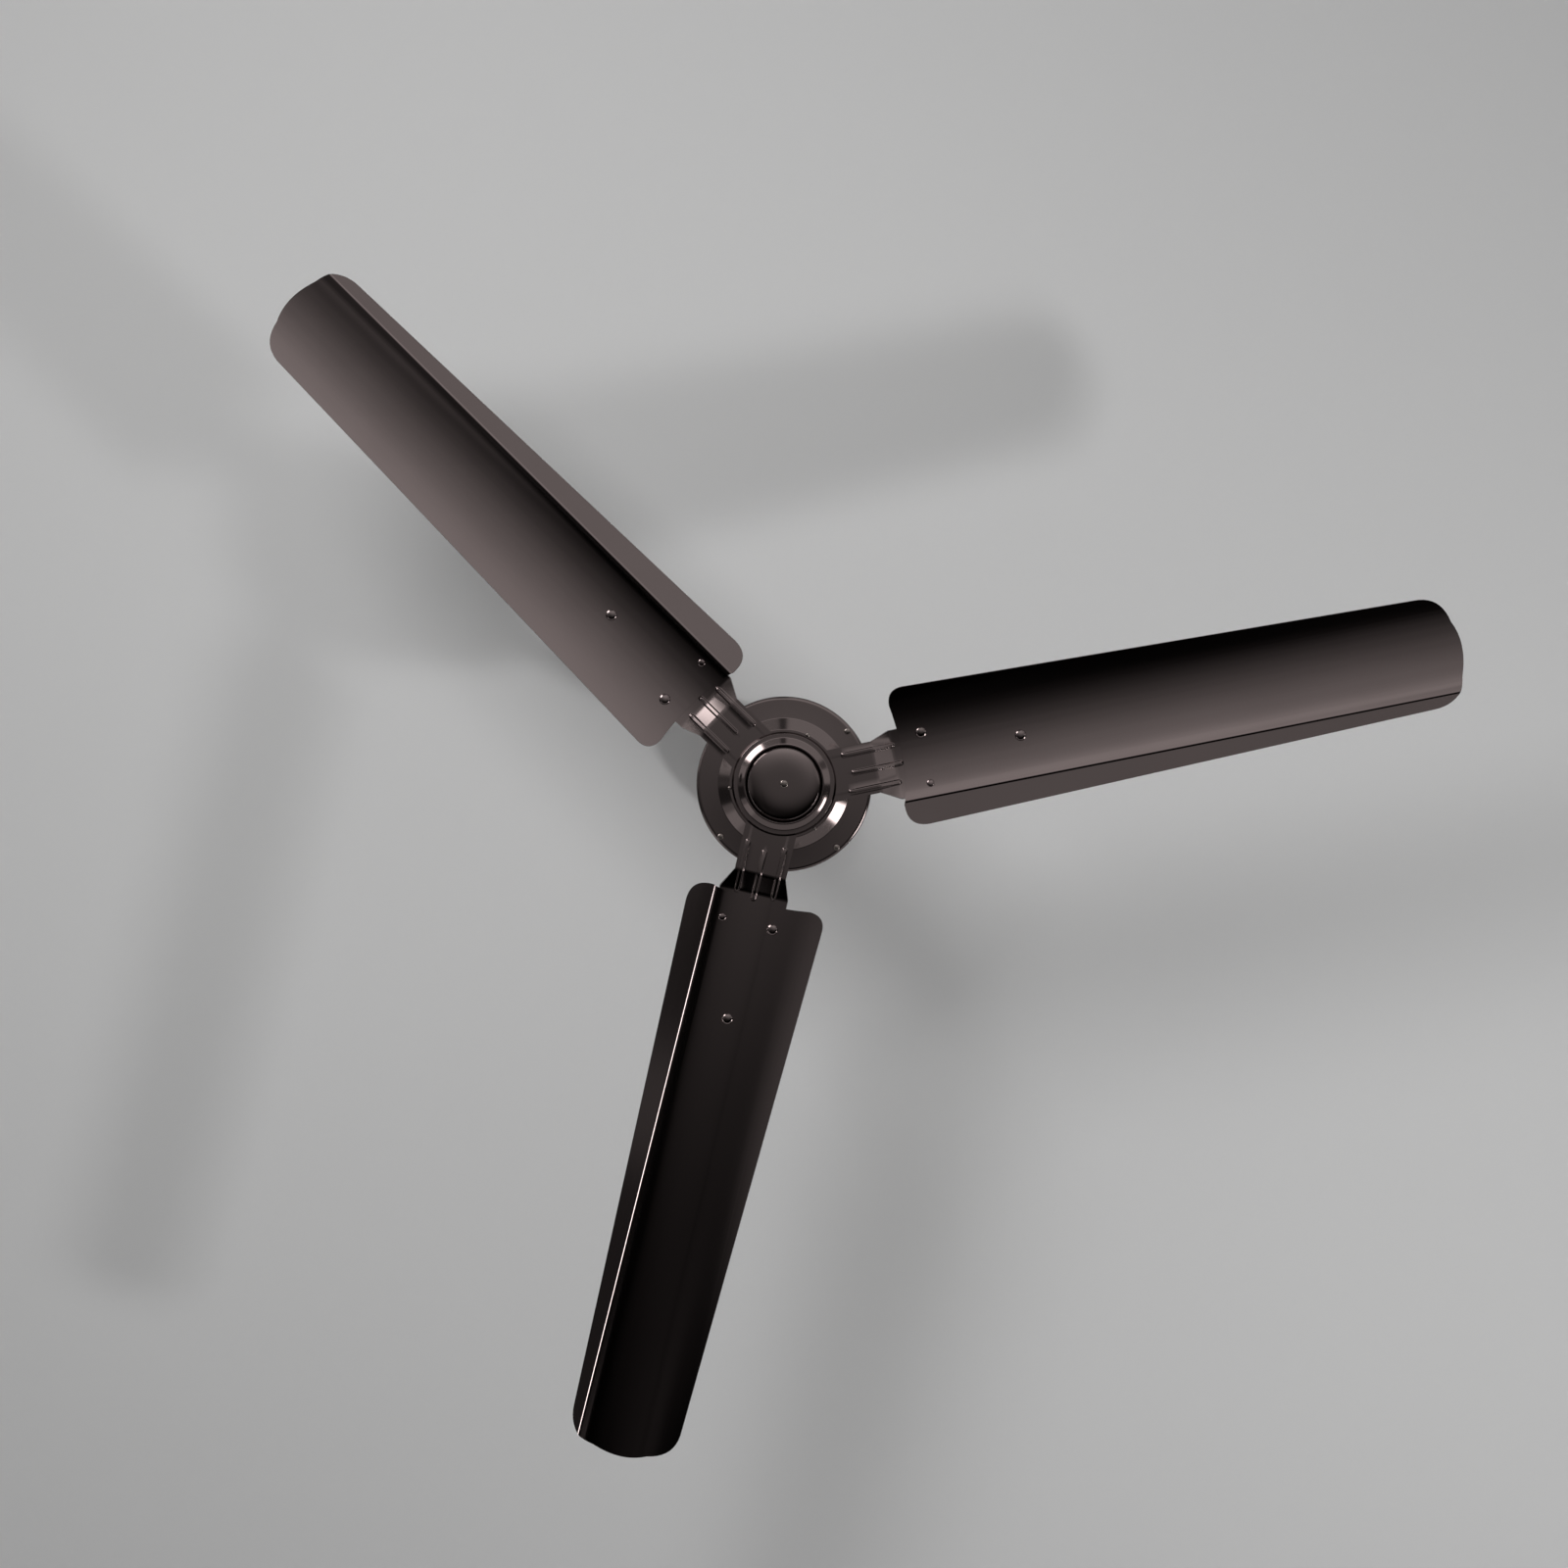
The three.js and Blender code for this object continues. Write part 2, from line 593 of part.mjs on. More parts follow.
/** The capacitor's case and the lug that the lower rod bolt holds. */
function runCapacitor() {
  const bottom = -CAPACITOR_BELOW_BOLT - CAPACITOR_HEIGHT;
  const seat = lowerRodBolt.seat;
  const lugHeight = CAPACITOR_LUG_HALF_WIDTH - bottom;
  const lug = solid(new THREE.BoxGeometry(CAPACITOR_LUG, 2 * CAPACITOR_LUG_HALF_WIDTH, lugHeight)
    .translate(seat + CAPACITOR_LUG / 2, 0, bottom + lugHeight / 2));
  const box = solid(new THREE.BoxGeometry(CAPACITOR_DEPTH, CAPACITOR_WIDTH, CAPACITOR_HEIGHT)
    .translate(seat + CAPACITOR_DEPTH / 2, 0, bottom + CAPACITOR_HEIGHT / 2));
  return geometryOf(lug.add(box).subtract(crossHole(ROD_BOLT_RADIUS + GAP, seat + OVERRUN, 0)));
}

// Canopies

/** A bell from its rim to a collar on the rod; up is +1 where the rim is above the collar. */
function canopy(radius, height, rimZ, up) {
  const collarEnd = rimZ - up * (height + CANOPY_COLLAR_HEIGHT);
  const collarStart = rimZ - up * height;
  const line = shoulder(radius, CANOPY_COLLAR_RADIUS, rimZ, -up * height, CURVE_STEPS);
  const inner = walled(line, -up * CANOPY_WALL).slice(line.length, -1);
  const bore = ROD_RADIUS + GAP;
  const outline = [
    ...line, [CANOPY_COLLAR_RADIUS, collarEnd], [bore, collarEnd],
    [bore, collarStart + up * CANOPY_WALL], ...inner, [radius - CANOPY_WALL, rimZ],
  ];
  const body = solid(revolved(outline));
  const middle = (collarStart + collarEnd) / 2;
  const hole = bar(SET_SCREW_RADIUS + GAP, 0, radius).rotateX(-Math.PI / 2).translate(0, 0, middle);
  return { geometry: geometryOf(body.subtract(solid(hole))), screwZ: middle };
}

/** A canopy's set screw along Y, its tip against the rod. */
function setScrew(height) {
  const start = ROD_RADIUS + GAP;
  const seat = CANOPY_COLLAR_RADIUS + GAP;
  return domedScrew(SET_SCREW_RADIUS, seat - start, SET_SCREW_HEAD_RADIUS, SET_SCREW_HEAD)
    .rotateX(Math.PI / 2).translate(0, seat, height);
}

// Motor

/** Socket for the rod, neck, bearing seats and core seat in one turned piece. */
function motorShaft() {
  const bore = ROD_RADIUS + GAP;
  const upperSeat = upperBearingTop - BEARING_WIDTH - GAP;
  const lowerSeat = lowerBearingBottom + BEARING_WIDTH + GAP;
  const wireBottom = shaftSocketFloorTop - SHAFT_SOCKET_FLOOR - SHAFT_WIRE_BORE_DEPTH;
  const outline = [
    [0, lowerBearingBottom], [bearingSeatRadius, lowerBearingBottom], [bearingSeatRadius, lowerSeat],
    [STATOR_HUB_RADIUS, lowerSeat], [STATOR_HUB_RADIUS, upperSeat], [bearingSeatRadius, upperSeat],
    [bearingSeatRadius, upperBearingTop + GAP], [SHAFT_NECK_RADIUS, upperBearingTop + GAP],
    [SHAFT_NECK_RADIUS, shaftSocketBottom], [SHAFT_SOCKET_RADIUS, shaftSocketBottom],
    [SHAFT_SOCKET_RADIUS, shaftSocketTop], [bore, shaftSocketTop], [bore, shaftSocketFloorTop],
    [SHAFT_WIRE_BORE_RADIUS, shaftSocketFloorTop], [SHAFT_WIRE_BORE_RADIUS, wireBottom], [0, wireBottom],
  ];
  const wireExit = solid(bar(SHAFT_WIRE_EXIT_RADIUS, 0, SHAFT_SOCKET_RADIUS).rotateX(-Math.PI / 2)
    .translate(0, 0, wireBottom + SHAFT_WIRE_BORE_RADIUS));
  const boltHole = crossHole(ROD_BOLT_RADIUS + GAP, SHAFT_SOCKET_RADIUS + OVERRUN, rodLowerBoltZ);
  return geometryOf(cut(solid(revolved(outline, MID_STEPS)), [wireExit, boltHole]));
}

/** Places of the housing screws, as angles in degrees. */
const coverScrewAngles = Array.from({ length: COVER_SCREW_COUNT },
  (_, i) => COVER_SCREW_ANGLE - (360 / COVER_SCREW_COUNT) * i);

/** Moves a geometry out along X and turns it about Z. */
function polar(geometry, radius, degrees, side = 0, height = 0) {
  return geometry.translate(radius, side, height).rotateZ(THREE.MathUtils.degToRad(degrees));
}

function topCover() {
  const rise = motorTop - TOP_BOSS_HEIGHT - motorShoulder;
  const outer = shoulder(MOTOR_RADIUS, TOP_BOSS_RADIUS, motorShoulder, rise, CURVE_STEPS);
  const innerStart = motorShoulder - COVER_WALL;
  const inner = shoulder(coverInnerRadius, TOP_BOSS_RADIUS, innerStart, rise, EDGE_STEPS);
  const bearingOpen = upperBearingTop - BEARING_WIDTH - GAP;
  const boxOuter = bearingBoxRadius + BEARING_BOX_WALL;
  const outline = [
    [MOTOR_RADIUS, motorSplit + GAP / 2], ...outer,
    [TOP_BOSS_RADIUS, motorTop], [SHAFT_HOLE_RADIUS, motorTop],
    [SHAFT_HOLE_RADIUS, upperBearingTop + GAP], [bearingBoxRadius, upperBearingTop + GAP],
    [bearingBoxRadius, bearingOpen], [boxOuter, bearingOpen],
    ...inner.reverse(), [coverInnerRadius, motorSplit + GAP / 2],
  ];
  const depth = motorBase + COVER_SCREW_LENGTH + GAP;
  const holes = coverScrewAngles.map((angle) => solid(
    polar(bar(COVER_SCREW_RADIUS + GAP, motorSplit - OVERRUN, depth), COVER_SCREW_CIRCLE, angle)));
  return geometryOf(cut(solid(revolved(outline)), holes));
}

/** Hub cone, flat ring and rounded edge outside; bearing box and screw floor inside. */
function bottomCover() {
  const edge = [];
  for (let i = 0; i <= EDGE_STEPS; i++) {
    const angle = (i / EDGE_STEPS) * Math.PI / 2;
    edge.push([MOTOR_RADIUS - MOTOR_EDGE_ROUND * (1 - Math.sin(angle)),
      motorBase + MOTOR_EDGE_ROUND * (1 - Math.cos(angle))]);
  }
  const floor = hubBase + HUB_FLOOR;
  const boxOuter = bearingBoxRadius + BEARING_BOX_WALL;
  const boxTop = lowerBearingBottom + BEARING_WIDTH;
  const outline = [
    [0, hubBase], [HUB_BOSS_RADIUS, hubBase], [CONE_BASE_RADIUS, motorBase], ...edge,
    [MOTOR_RADIUS, motorSplit - GAP / 2], [coverInnerRadius, motorSplit - GAP / 2],
    [coverInnerRadius, motorBase + COVER_WALL], [CONE_BASE_RADIUS, motorBase + COVER_WALL],
    [HUB_BOSS_RADIUS, floor], [boxOuter, floor], [boxOuter, boxTop], [bearingBoxRadius, boxTop],
    [bearingBoxRadius, lowerBearingBottom - GAP], [0, lowerBearingBottom - GAP],
  ];
  const stud = solid(bar(CAP_STUD_RADIUS, capStudTip, hubBase + GAP));
  const capHoleTop = capStudTip + CAP_SCREW_LENGTH + GAP;
  const holes = [bar(CAP_SCREW_RADIUS + GAP, capStudTip - OVERRUN, capHoleTop)];
  for (const angle of coverScrewAngles) {
    const hole = bar(COVER_SCREW_RADIUS + GAP, motorBase - OVERRUN, motorSplit + OVERRUN);
    holes.push(polar(hole, COVER_SCREW_CIRCLE, angle));
  }
  for (const place of bladeAngles) {
    for (const side of [-1, 1]) {
      const depth = hubBase + BRACKET_SCREW_LENGTH + GAP;
      const hole = bar(BRACKET_SCREW_RADIUS + GAP, hubBase - OVERRUN, depth);
      holes.push(polar(hole, BRACKET_SCREW_CIRCLE, place, side * BRACKET_SCREW_SIDE));
    }
  }
  for (const place of trimScrewAngles) {
    const hole = bar(TRIM_SCREW_RADIUS + GAP, hubBase - OVERRUN, hubBase + TRIM_SCREW_LENGTH + GAP);
    holes.push(polar(hole, TRIM_SCREW_CIRCLE, place));
  }
  return geometryOf(cut(solid(revolved(outline)).add(stud), holes.map(solid)));
}

/** Laminated core with open slots in its rim. */
function statorCore() {
  const half = STATOR_HEIGHT / 2;
  const bore = STATOR_HUB_RADIUS + GAP;
  const disc = solid(ring(bore, STATOR_RADIUS, statorMiddle - half, statorMiddle + half));
  const reach = STATOR_RADIUS + OVERRUN;
  return geometryOf(cut(disc, slotBlocks(STATOR_SLOT_WIDTH, STATOR_SLOT_DEPTH, half + OVERRUN, reach)));
}

/** One block for each slot of the stator, reaching in from a radius. */
function slotBlocks(width, depth, half, radius) {
  const inner = STATOR_RADIUS - depth;
  return Array.from({ length: STATOR_SLOTS }, (_, i) => solid(polar(
    new THREE.BoxGeometry(radius - inner, width, 2 * half), (radius + inner) / 2,
    (360 / STATOR_SLOTS) * i, 0, statorMiddle)));
}

/** Copper in the slots, tied into one piece by the end turns above and below the core. */
function statorWinding() {
  const half = STATOR_HEIGHT / 2;
  const face = statorMiddle + half + GAP;
  const under = statorMiddle - half - GAP;
  const ends = solid(ring(WINDING_INNER_RADIUS, WINDING_RADIUS, face, face + WINDING_END_HEIGHT))
    .add(solid(ring(WINDING_INNER_RADIUS, WINDING_RADIUS, under - WINDING_END_HEIGHT, under)));
  const depth = STATOR_RADIUS - WINDING_INNER_RADIUS - GAP;
  const reach = WINDING_RADIUS - GAP;
  return geometryOf(slotBlocks(STATOR_SLOT_WIDTH - 2 * GAP, depth, half + 2 * GAP, reach)
    .reduce((body, block) => body.add(block), ends));
}

// Bearings: inner ring, balls in their cage, outer ring

function bearingBalls(bottom) {
  const inner = bearingInnerRingRadius + GAP;
  const outer = bearingOuterRingInner - GAP;
  const height = BEARING_WIDTH * BALL_CAGE_SHARE;
  const start = bottom + (BEARING_WIDTH - height) / 2;
  return ring(inner, outer, start, start + height, MID_STEPS);
}

function addBearing(name, bottom) {
  const top = bottom + BEARING_WIDTH;
  const innerRing = ring(BEARING_BORE_RADIUS, bearingInnerRingRadius, bottom, top, MID_STEPS);
  const outerRing = ring(bearingOuterRingInner, BEARING_RADIUS, bottom, top, MID_STEPS);
  add(`${name}_inner_ring`, innerRing, steel());
  add(`${name}_ball_set`, bearingBalls(bottom), steel());
  add(`${name}_outer_ring`, outerRing, steel());
}

// Blades and brackets

const bladeAngles = Array.from({ length: BLADE_COUNT }, (_, i) => {
  const play = BLADE_PLAY_ANGLES[i % BLADE_PLAY_ANGLES.length];
  return FIRST_BLADE_ANGLE - (360 / BLADE_COUNT) * i + play;
});
const trimScrewAngles = Array.from({ length: TRIM_SCREW_COUNT },
  (_, i) => TRIM_SCREW_ANGLE - (360 / TRIM_SCREW_COUNT) * i);
const flangeSlope = Math.tan(THREE.MathUtils.degToRad(FLANGE_ANGLE));

/** Fall of the cambered sheet below its crest, and its slope, at a side. */
const camberFall = (side) => (side - BLADE_CREST_SIDE) ** 2 / (2 * BLADE_CAMBER_RADIUS);
const camberTilt = (side) => -Math.atan((side - BLADE_CREST_SIDE) / BLADE_CAMBER_RADIUS);

/** Value at a radius on the straight line from the blade's root to its tip. */
function along(run, atRoot, atTip) {
  return THREE.MathUtils.mapLinear(run, BLADE_ROOT_RADIUS, SWEEP_RADIUS, atRoot, atTip);
}

const creaseSide = (run) => along(run, CREASE_ROOT_SIDE, CREASE_TIP_SIDE);

/** Under face of a blade: main camber up to the crease, then the flange rising from it. */
function bladeUnder(run, side) {
  const crest = bladeCrestTop - BLADE_THICKNESS;
  const crease = creaseSide(run);
  const camber = crest - camberFall(side);
  const flange = crest - camberFall(crease) + (side - crease) * flangeSlope;
  const turn = CREASE_ROUND / 2;
  if (side <= crease - turn) {
    return camber;
  }
  if (side >= crease + turn) {
    return flange;
  }
  const share = (side - crease + turn) / CREASE_ROUND;
  const lift = CREASE_LIFT_SHARE * turn * (1 - (2 * share - 1) ** 2);
  return Math.max(camber, flange) + lift;
}

/** Outline of a blade seen from above, with bowed root and tip edges and round corners. */
function bladeOutline() {
  const [rootCcw, rootCw] = [BLADE_ROOT_CCW_EDGE, -BLADE_ROOT_CW_EDGE];
  const tipBase = SWEEP_RADIUS - BLADE_TIP_BOW;
  const [tipCcw, tipCw] = [BLADE_TIP_CCW_EDGE, -BLADE_TIP_CW_EDGE];
  const [ccwBase, cwBase] = [BLADE_ROOT_CCW_RADIUS, BLADE_ROOT_RADIUS];
  const cornerEnd = tipBase + BLADE_TIP_BOW / 2;
  const tipPull = 2 * SWEEP_RADIUS - cornerEnd;
  const rootPull = (ccwBase + cwBase) / 2 + 2 * BLADE_ROOT_BOW;
  const outline = new THREE.Shape();
  outline.moveTo(cwBase + BLADE_ROOT_CORNER, rootCw);
  outline.lineTo(tipBase - BLADE_TIP_CORNER, tipCw);
  outline.quadraticCurveTo(tipBase, tipCw, cornerEnd, tipCw + BLADE_TIP_CORNER);
  outline.quadraticCurveTo(tipPull, 0, cornerEnd, tipCcw - BLADE_TIP_CORNER);
  outline.quadraticCurveTo(tipBase, tipCcw, tipBase - BLADE_TIP_CORNER, tipCcw);
  outline.lineTo(ccwBase + BLADE_ROOT_CORNER, rootCcw);
  outline.quadraticCurveTo(ccwBase, rootCcw, ccwBase, rootCcw - BLADE_ROOT_CORNER);
  outline.quadraticCurveTo(rootPull, 0, cwBase, rootCw + BLADE_ROOT_CORNER);
  outline.quadraticCurveTo(cwBase, rootCw, cwBase + BLADE_ROOT_CORNER, rootCw);
  return outline;
}

const largeRivet = { shank: RIVET_RADIUS, head: RIVET_HEAD_RADIUS, height: RIVET_HEAD };
const smallRivet = {
  shank: SMALL_RIVET_RADIUS, head: SMALL_RIVET_HEAD_RADIUS, height: SMALL_RIVET_HEAD,
};
const tongueRound = TONGUE_END_RADIUS - TONGUE_HALF_WIDTH;

/** The three rivets of a blade, by radius and side. */
const rivets = [
  { letter: 'a', run: RIVET_A_RADIUS, side: RIVET_A_SIDE, ...largeRivet },
  { letter: 'b', run: tongueRound, side: 0, ...largeRivet },
  { letter: 'c', run: RIVET_C_RADIUS, side: RIVET_C_SIDE, ...smallRivet },
];

/** The three beads of a bracket, by side, start and end: the middle one is set further out. */
const beads = [
  { side: CW_BEAD_SIDE, start: OUTER_BEAD_START, end: OUTER_BEAD_END },
  { side: MIDDLE_BEAD_SIDE, start: MIDDLE_BEAD_START, end: MIDDLE_BEAD_END },
  { side: CCW_BEAD_SIDE, start: OUTER_BEAD_START, end: OUTER_BEAD_END },
];

/** Puts a geometry made about Z at a rivet's place, square to the sheet, from the blade's under face. */
function onSheet(geometry, { run, side }) {
  const seat = bladeUnder(run, side);
  return geometry.rotateX(camberTilt(side)).translate(run, side, seat);
}

/** Cutters for the rivets' holes through blade and bracket. */
function rivetHoles() {
  const reach = BLADE_THICKNESS + BRACKET_THICKNESS + OVERRUN;
  return rivets.map((rivet) => solid(onSheet(bar(rivet.shank + GAP, -OVERRUN, reach), rivet)));
}

function blade() {
  const wide = Math.max(BLADE_ROOT_CCW_EDGE, BLADE_ROOT_CW_EDGE) + OVERRUN;
  const turn = CREASE_ROUND / 2;
  const sides = [];
  for (let i = 0; i <= CAMBER_STEPS; i++) {
    sides.push((run) => THREE.MathUtils.lerp(-wide, creaseSide(run) - turn, i / CAMBER_STEPS));
  }
  for (const share of CREASE_SHARES) {
    sides.push((run) => creaseSide(run) - turn + CREASE_ROUND * share);
  }
  sides.push(() => wide);
  const runs = [BLADE_ROOT_CCW_RADIUS - OVERRUN, SWEEP_RADIUS + OVERRUN];
  const sheet = solid(pressedSheet(runs, sides, bladeUnder, BLADE_THICKNESS));
  const blank = solid(prism(bladeOutline(), bladeCrestTop - wide, bladeCrestTop + wide));
  return geometryOf(cut(sheet.intersect(blank), rivetHoles()));
}

const beadHalf = BEAD_WIDTH / 2;
const beadCrest = beadHalf * BEAD_CREST_SHARE;

/** Depth of the pressed beads at a place on the bracket, as a share of the full depth. */
function beadShare(run, side) {
  const shares = beads.map((bead) => Math.min(
    (beadHalf - Math.abs(side - bead.side)) / (beadHalf - beadCrest),
    (run - bead.start) / BEAD_END_RUN,
    (bead.end - run) / BEAD_END_RUN));
  return THREE.MathUtils.clamp(Math.max(...shares), 0, 1);
}

/** Under face of a bracket: flat at the hub, a joggle, then the blade's camber, all with its beads. */
function bracketUnderFace(run, side) {
  const joggleRun = JOGGLE_END_RADIUS - JOGGLE_START_RADIUS;
  const share = THREE.MathUtils.clamp((run - JOGGLE_START_RADIUS) / joggleRun, 0, 1);
  return bracketUnder + share * (JOGGLE_RISE - camberFall(side)) - BEAD_DEPTH * beadShare(run, side);
}

function bracketOutline() {
  const outline = new THREE.Shape();
  outline.moveTo(BRACKET_ROOT_RADIUS, -BRACKET_CW_EDGE);
  outline.lineTo(JOGGLE_START_RADIUS, -BRACKET_CW_EDGE);
  outline.lineTo(JOGGLE_END_RADIUS, -FLARE_CW_EDGE);
  outline.lineTo(FLARE_END_RADIUS, -FLARE_CW_EDGE);
  outline.lineTo(tongueRound, -TONGUE_HALF_WIDTH);
  outline.absarc(tongueRound, 0, TONGUE_HALF_WIDTH, -Math.PI / 2, Math.PI / 2);
  outline.lineTo(FLARE_END_RADIUS, FLARE_CCW_EDGE);
  outline.lineTo(JOGGLE_END_RADIUS, FLARE_CCW_EDGE);
  outline.lineTo(JOGGLE_START_RADIUS, BRACKET_CCW_EDGE);
  outline.lineTo(BRACKET_ROOT_RADIUS, BRACKET_CCW_EDGE);
  return outline;
}

function bracket() {
  const wide = Math.max(FLARE_CCW_EDGE, FLARE_CW_EDGE) + OVERRUN;
  const beadSides = beads.flatMap(({ side }) => [-beadHalf, -beadCrest, beadCrest, beadHalf]
    .map((offset) => side + offset));
  const open = [-wide, (Math.min(...beadSides) - wide) / 2, (Math.max(...beadSides) + wide) / 2, wide];
  const sides = [...open, ...beadSides].sort((a, b) => a - b).map((side) => () => side);
  const runs = [
    BRACKET_ROOT_RADIUS - OVERRUN, OUTER_BEAD_START, OUTER_BEAD_START + BEAD_END_RUN,
    MIDDLE_BEAD_START, MIDDLE_BEAD_START + BEAD_END_RUN, JOGGLE_START_RADIUS, JOGGLE_END_RADIUS,
    OUTER_BEAD_END - BEAD_END_RUN, OUTER_BEAD_END, MIDDLE_BEAD_END - BEAD_END_RUN, MIDDLE_BEAD_END,
    TONGUE_END_RADIUS + OVERRUN,
  ].sort((a, b) => a - b);
  const sheet = solid(pressedSheet(runs, sides, bracketUnderFace, BRACKET_THICKNESS));
  const blank = solid(prism(bracketOutline(), bracketUnder - wide, bracketUnder + wide));
  const screwHoles = [-1, 1].map((side) => solid(
    bar(BRACKET_SCREW_RADIUS + GAP, bracketUnder - OVERRUN, bracketTop + OVERRUN)
      .translate(BRACKET_SCREW_CIRCLE, side * BRACKET_SCREW_SIDE, 0)));
  return geometryOf(cut(sheet.intersect(blank), [...rivetHoles(), ...screwHoles]));
}

/** A rivet with a domed head under the blade and a flatter one on the bracket. */
function rivetBody({ shank, head, height }) {
  const grip = BLADE_THICKNESS + BRACKET_THICKNESS + 2 * GAP;
  const dome = DOME_SHARES.map(([across, down]) => [head * across, -GAP - height * down]);
  const tail = UPSET_SHARES.map(([across, up]) => [head * across, grip + height * up]);
  return revolved([...dome, [shank, -GAP], [shank, grip], ...tail], SCREW_STEPS);
}

// Trim ring and cap

const trimTop = bracketUnder - GAP;
const trimFace = trimTop - TRIM_SKIRT;
const capSeat = trimFace - GAP;
const capRimEnd = capSeat - CAP_RIM;
const capTip = capRimEnd - CAP_DOME;
const capStudTip = capTip + CAP_WALL + GAP;

function trimRing() {
  const line = [
    [TRIM_RADIUS, trimTop], [TRIM_RADIUS, trimFace + TRIM_WALL], [TRIM_RADIUS - TRIM_WALL, trimFace],
  ];
  for (let i = 0; i <= CURVE_STEPS; i++) {
    const angle = (i / CURVE_STEPS) * Math.PI;
    const across = TRIM_BEAD_RADIUS + TRIM_BEAD_HALF_WIDTH * Math.cos(angle);
    line.push([across, trimFace - TRIM_BEAD_HEIGHT * Math.sin(angle)]);
  }
  line.push([TRIM_LIP_RADIUS, trimFace]);
  return revolved(walled(line, -TRIM_WALL));
}

/** Domed cap: flat in the middle and falling ever faster to its eased rim. */
function hubCap() {
  const line = [[CAP_RADIUS, capSeat], [CAP_RADIUS, capRimEnd + CAP_EDGE]];
  for (let i = CURVE_STEPS; i >= 0; i--) {
    const share = Math.sin((i / CURVE_STEPS) * Math.PI / 2);
    line.push([(CAP_RADIUS - CAP_EDGE) * share, capTip + CAP_DOME * share ** CAP_DOME_POWER]);
  }
  const bore = CAP_RADIUS - CAP_WALL;
  const inner = [
    [0, capTip + CAP_WALL], [CAP_RADIUS * CAP_FLAT_SHARE, capTip + CAP_WALL],
    [bore, capRimEnd + CAP_WALL], [bore, capSeat],
  ];
  const hole = solid(bar(CAP_SCREW_RADIUS + GAP, capTip - OVERRUN, capSeat + OVERRUN));
  return geometryOf(solid(revolved([...line, ...inner])).subtract(hole));
}

// Assembly: hanger and rod
add('hanger_bobbin', bobbin(), rubber());
add('shackle', shackle(), steel());
add('hanger_bolt', drilledHangerBolt(), steel());
add('hanger_nut', hexNut(hangerBolt), steel());
add('hanger_split_pin', splitPin(), steel());
add('terminal_block', terminalBlock(), plastic());
add('downrod', downrod(), paintedMetal());
add('rod_upper_bolt', hexBolt(upperRodBolt).translate(0, 0, rodUpperBoltZ), steel());
add('rod_upper_nut', hexNut(upperRodBolt).translate(0, 0, rodUpperBoltZ), steel());
add('rod_lower_bolt', hexBolt(lowerRodBolt).translate(0, 0, rodLowerBoltZ), steel());
add('rod_lower_nut', hexNut(lowerRodBolt).translate(0, 0, rodLowerBoltZ), steel());
add('run_capacitor', runCapacitor().translate(0, 0, rodLowerBoltZ), plastic());

// Assembly: canopies
const topCanopy = canopy(TOP_CANOPY_RADIUS, topCanopyHeight, TOP_CANOPY_RIM_ABOVE, 1);
add('top_canopy', topCanopy.geometry, paintedMetal());
add('top_canopy_screw', setScrew(topCanopy.screwZ), steel());
const lowerCanopy = canopy(LOWER_CANOPY_RADIUS, lowerCanopyHeight, lowerCanopyRim, -1);
add('lower_canopy', lowerCanopy.geometry, paintedMetal());
add('lower_canopy_screw', setScrew(lowerCanopy.screwZ), steel());

// Assembly: motor
add('motor_shaft', motorShaft(), steel());
add('stator_core', statorCore(), laminated());
add('stator_winding', statorWinding(), copper());
addBearing('upper_bearing', upperBearingTop - BEARING_WIDTH);
addBearing('lower_bearing', lowerBearingBottom);
add('motor_top_cover', topCover(), paintedCast());
add('motor_bottom_cover', bottomCover(), paintedCast());
const rotorEnds = [statorMiddle - STATOR_HEIGHT / 2, statorMiddle + STATOR_HEIGHT / 2];
add('rotor_ring', ring(rotorInnerRadius, coverInnerRadius - GAP, ...rotorEnds), laminated());
coverScrewAngles.forEach((angle, i) => {
  const screw = domedScrew(
    COVER_SCREW_RADIUS, COVER_SCREW_LENGTH, COVER_SCREW_HEAD_RADIUS, COVER_SCREW_HEAD);
  add(`cover_screw_${i + 1}`, polar(screw, COVER_SCREW_CIRCLE, angle, 0, motorBase - GAP), steel());
});

// Assembly: blade set
bladeAngles.forEach((angle, i) => {
  const arm = turned(angle);
  add(`bracket_${i + 1}`, bracket(), paintedMetal(), arm);
  add(`blade_${i + 1}`, blade(), paintedMetal(), arm);
  for (const rivet of rivets) {
    add(`rivet_${i + 1}${rivet.letter}`, onSheet(rivetBody(rivet), rivet), paintedMetal(), arm);
  }
  [-1, 1].forEach((side, j) => {
    const screw = domedScrew(BRACKET_SCREW_RADIUS, BRACKET_THICKNESS + BRACKET_SCREW_LENGTH,
      BRACKET_SCREW_HEAD_RADIUS, BRACKET_SCREW_HEAD);
    screw.translate(BRACKET_SCREW_CIRCLE, side * BRACKET_SCREW_SIDE, bracketUnder - GAP);
    add(`bracket_screw_${i + 1}${'ab'[j]}`, screw, steel(), arm);
  });
});

// Assembly: trim
add('trim_ring', trimRing(), paintedMetal());
trimScrewAngles.forEach((angle, i) => {
  const screw = domedScrew(
    TRIM_SCREW_RADIUS, TRIM_SCREW_LENGTH, TRIM_SCREW_HEAD_RADIUS, TRIM_SCREW_HEAD);
  add(`trim_screw_${i + 1}`, polar(screw, TRIM_SCREW_CIRCLE, angle, 0, hubBase - GAP), steel());
});
add('hub_cap', hubCap(), paintedMetal());
const capScrew = domedScrew(CAP_SCREW_RADIUS, CAP_SCREW_LENGTH, CAP_SCREW_HEAD_RADIUS, CAP_SCREW_HEAD);
add('hub_cap_screw', capScrew.translate(0, 0, capTip - GAP), steel());

export default fan;
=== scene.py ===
"""Dresses the three-blade ceiling fan: pressed blades, ribbed brackets, motor, hub trim, rod and hanger.

Metres, +Z up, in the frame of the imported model. The camera looks straight up at the fan, as the photograph does.
"""

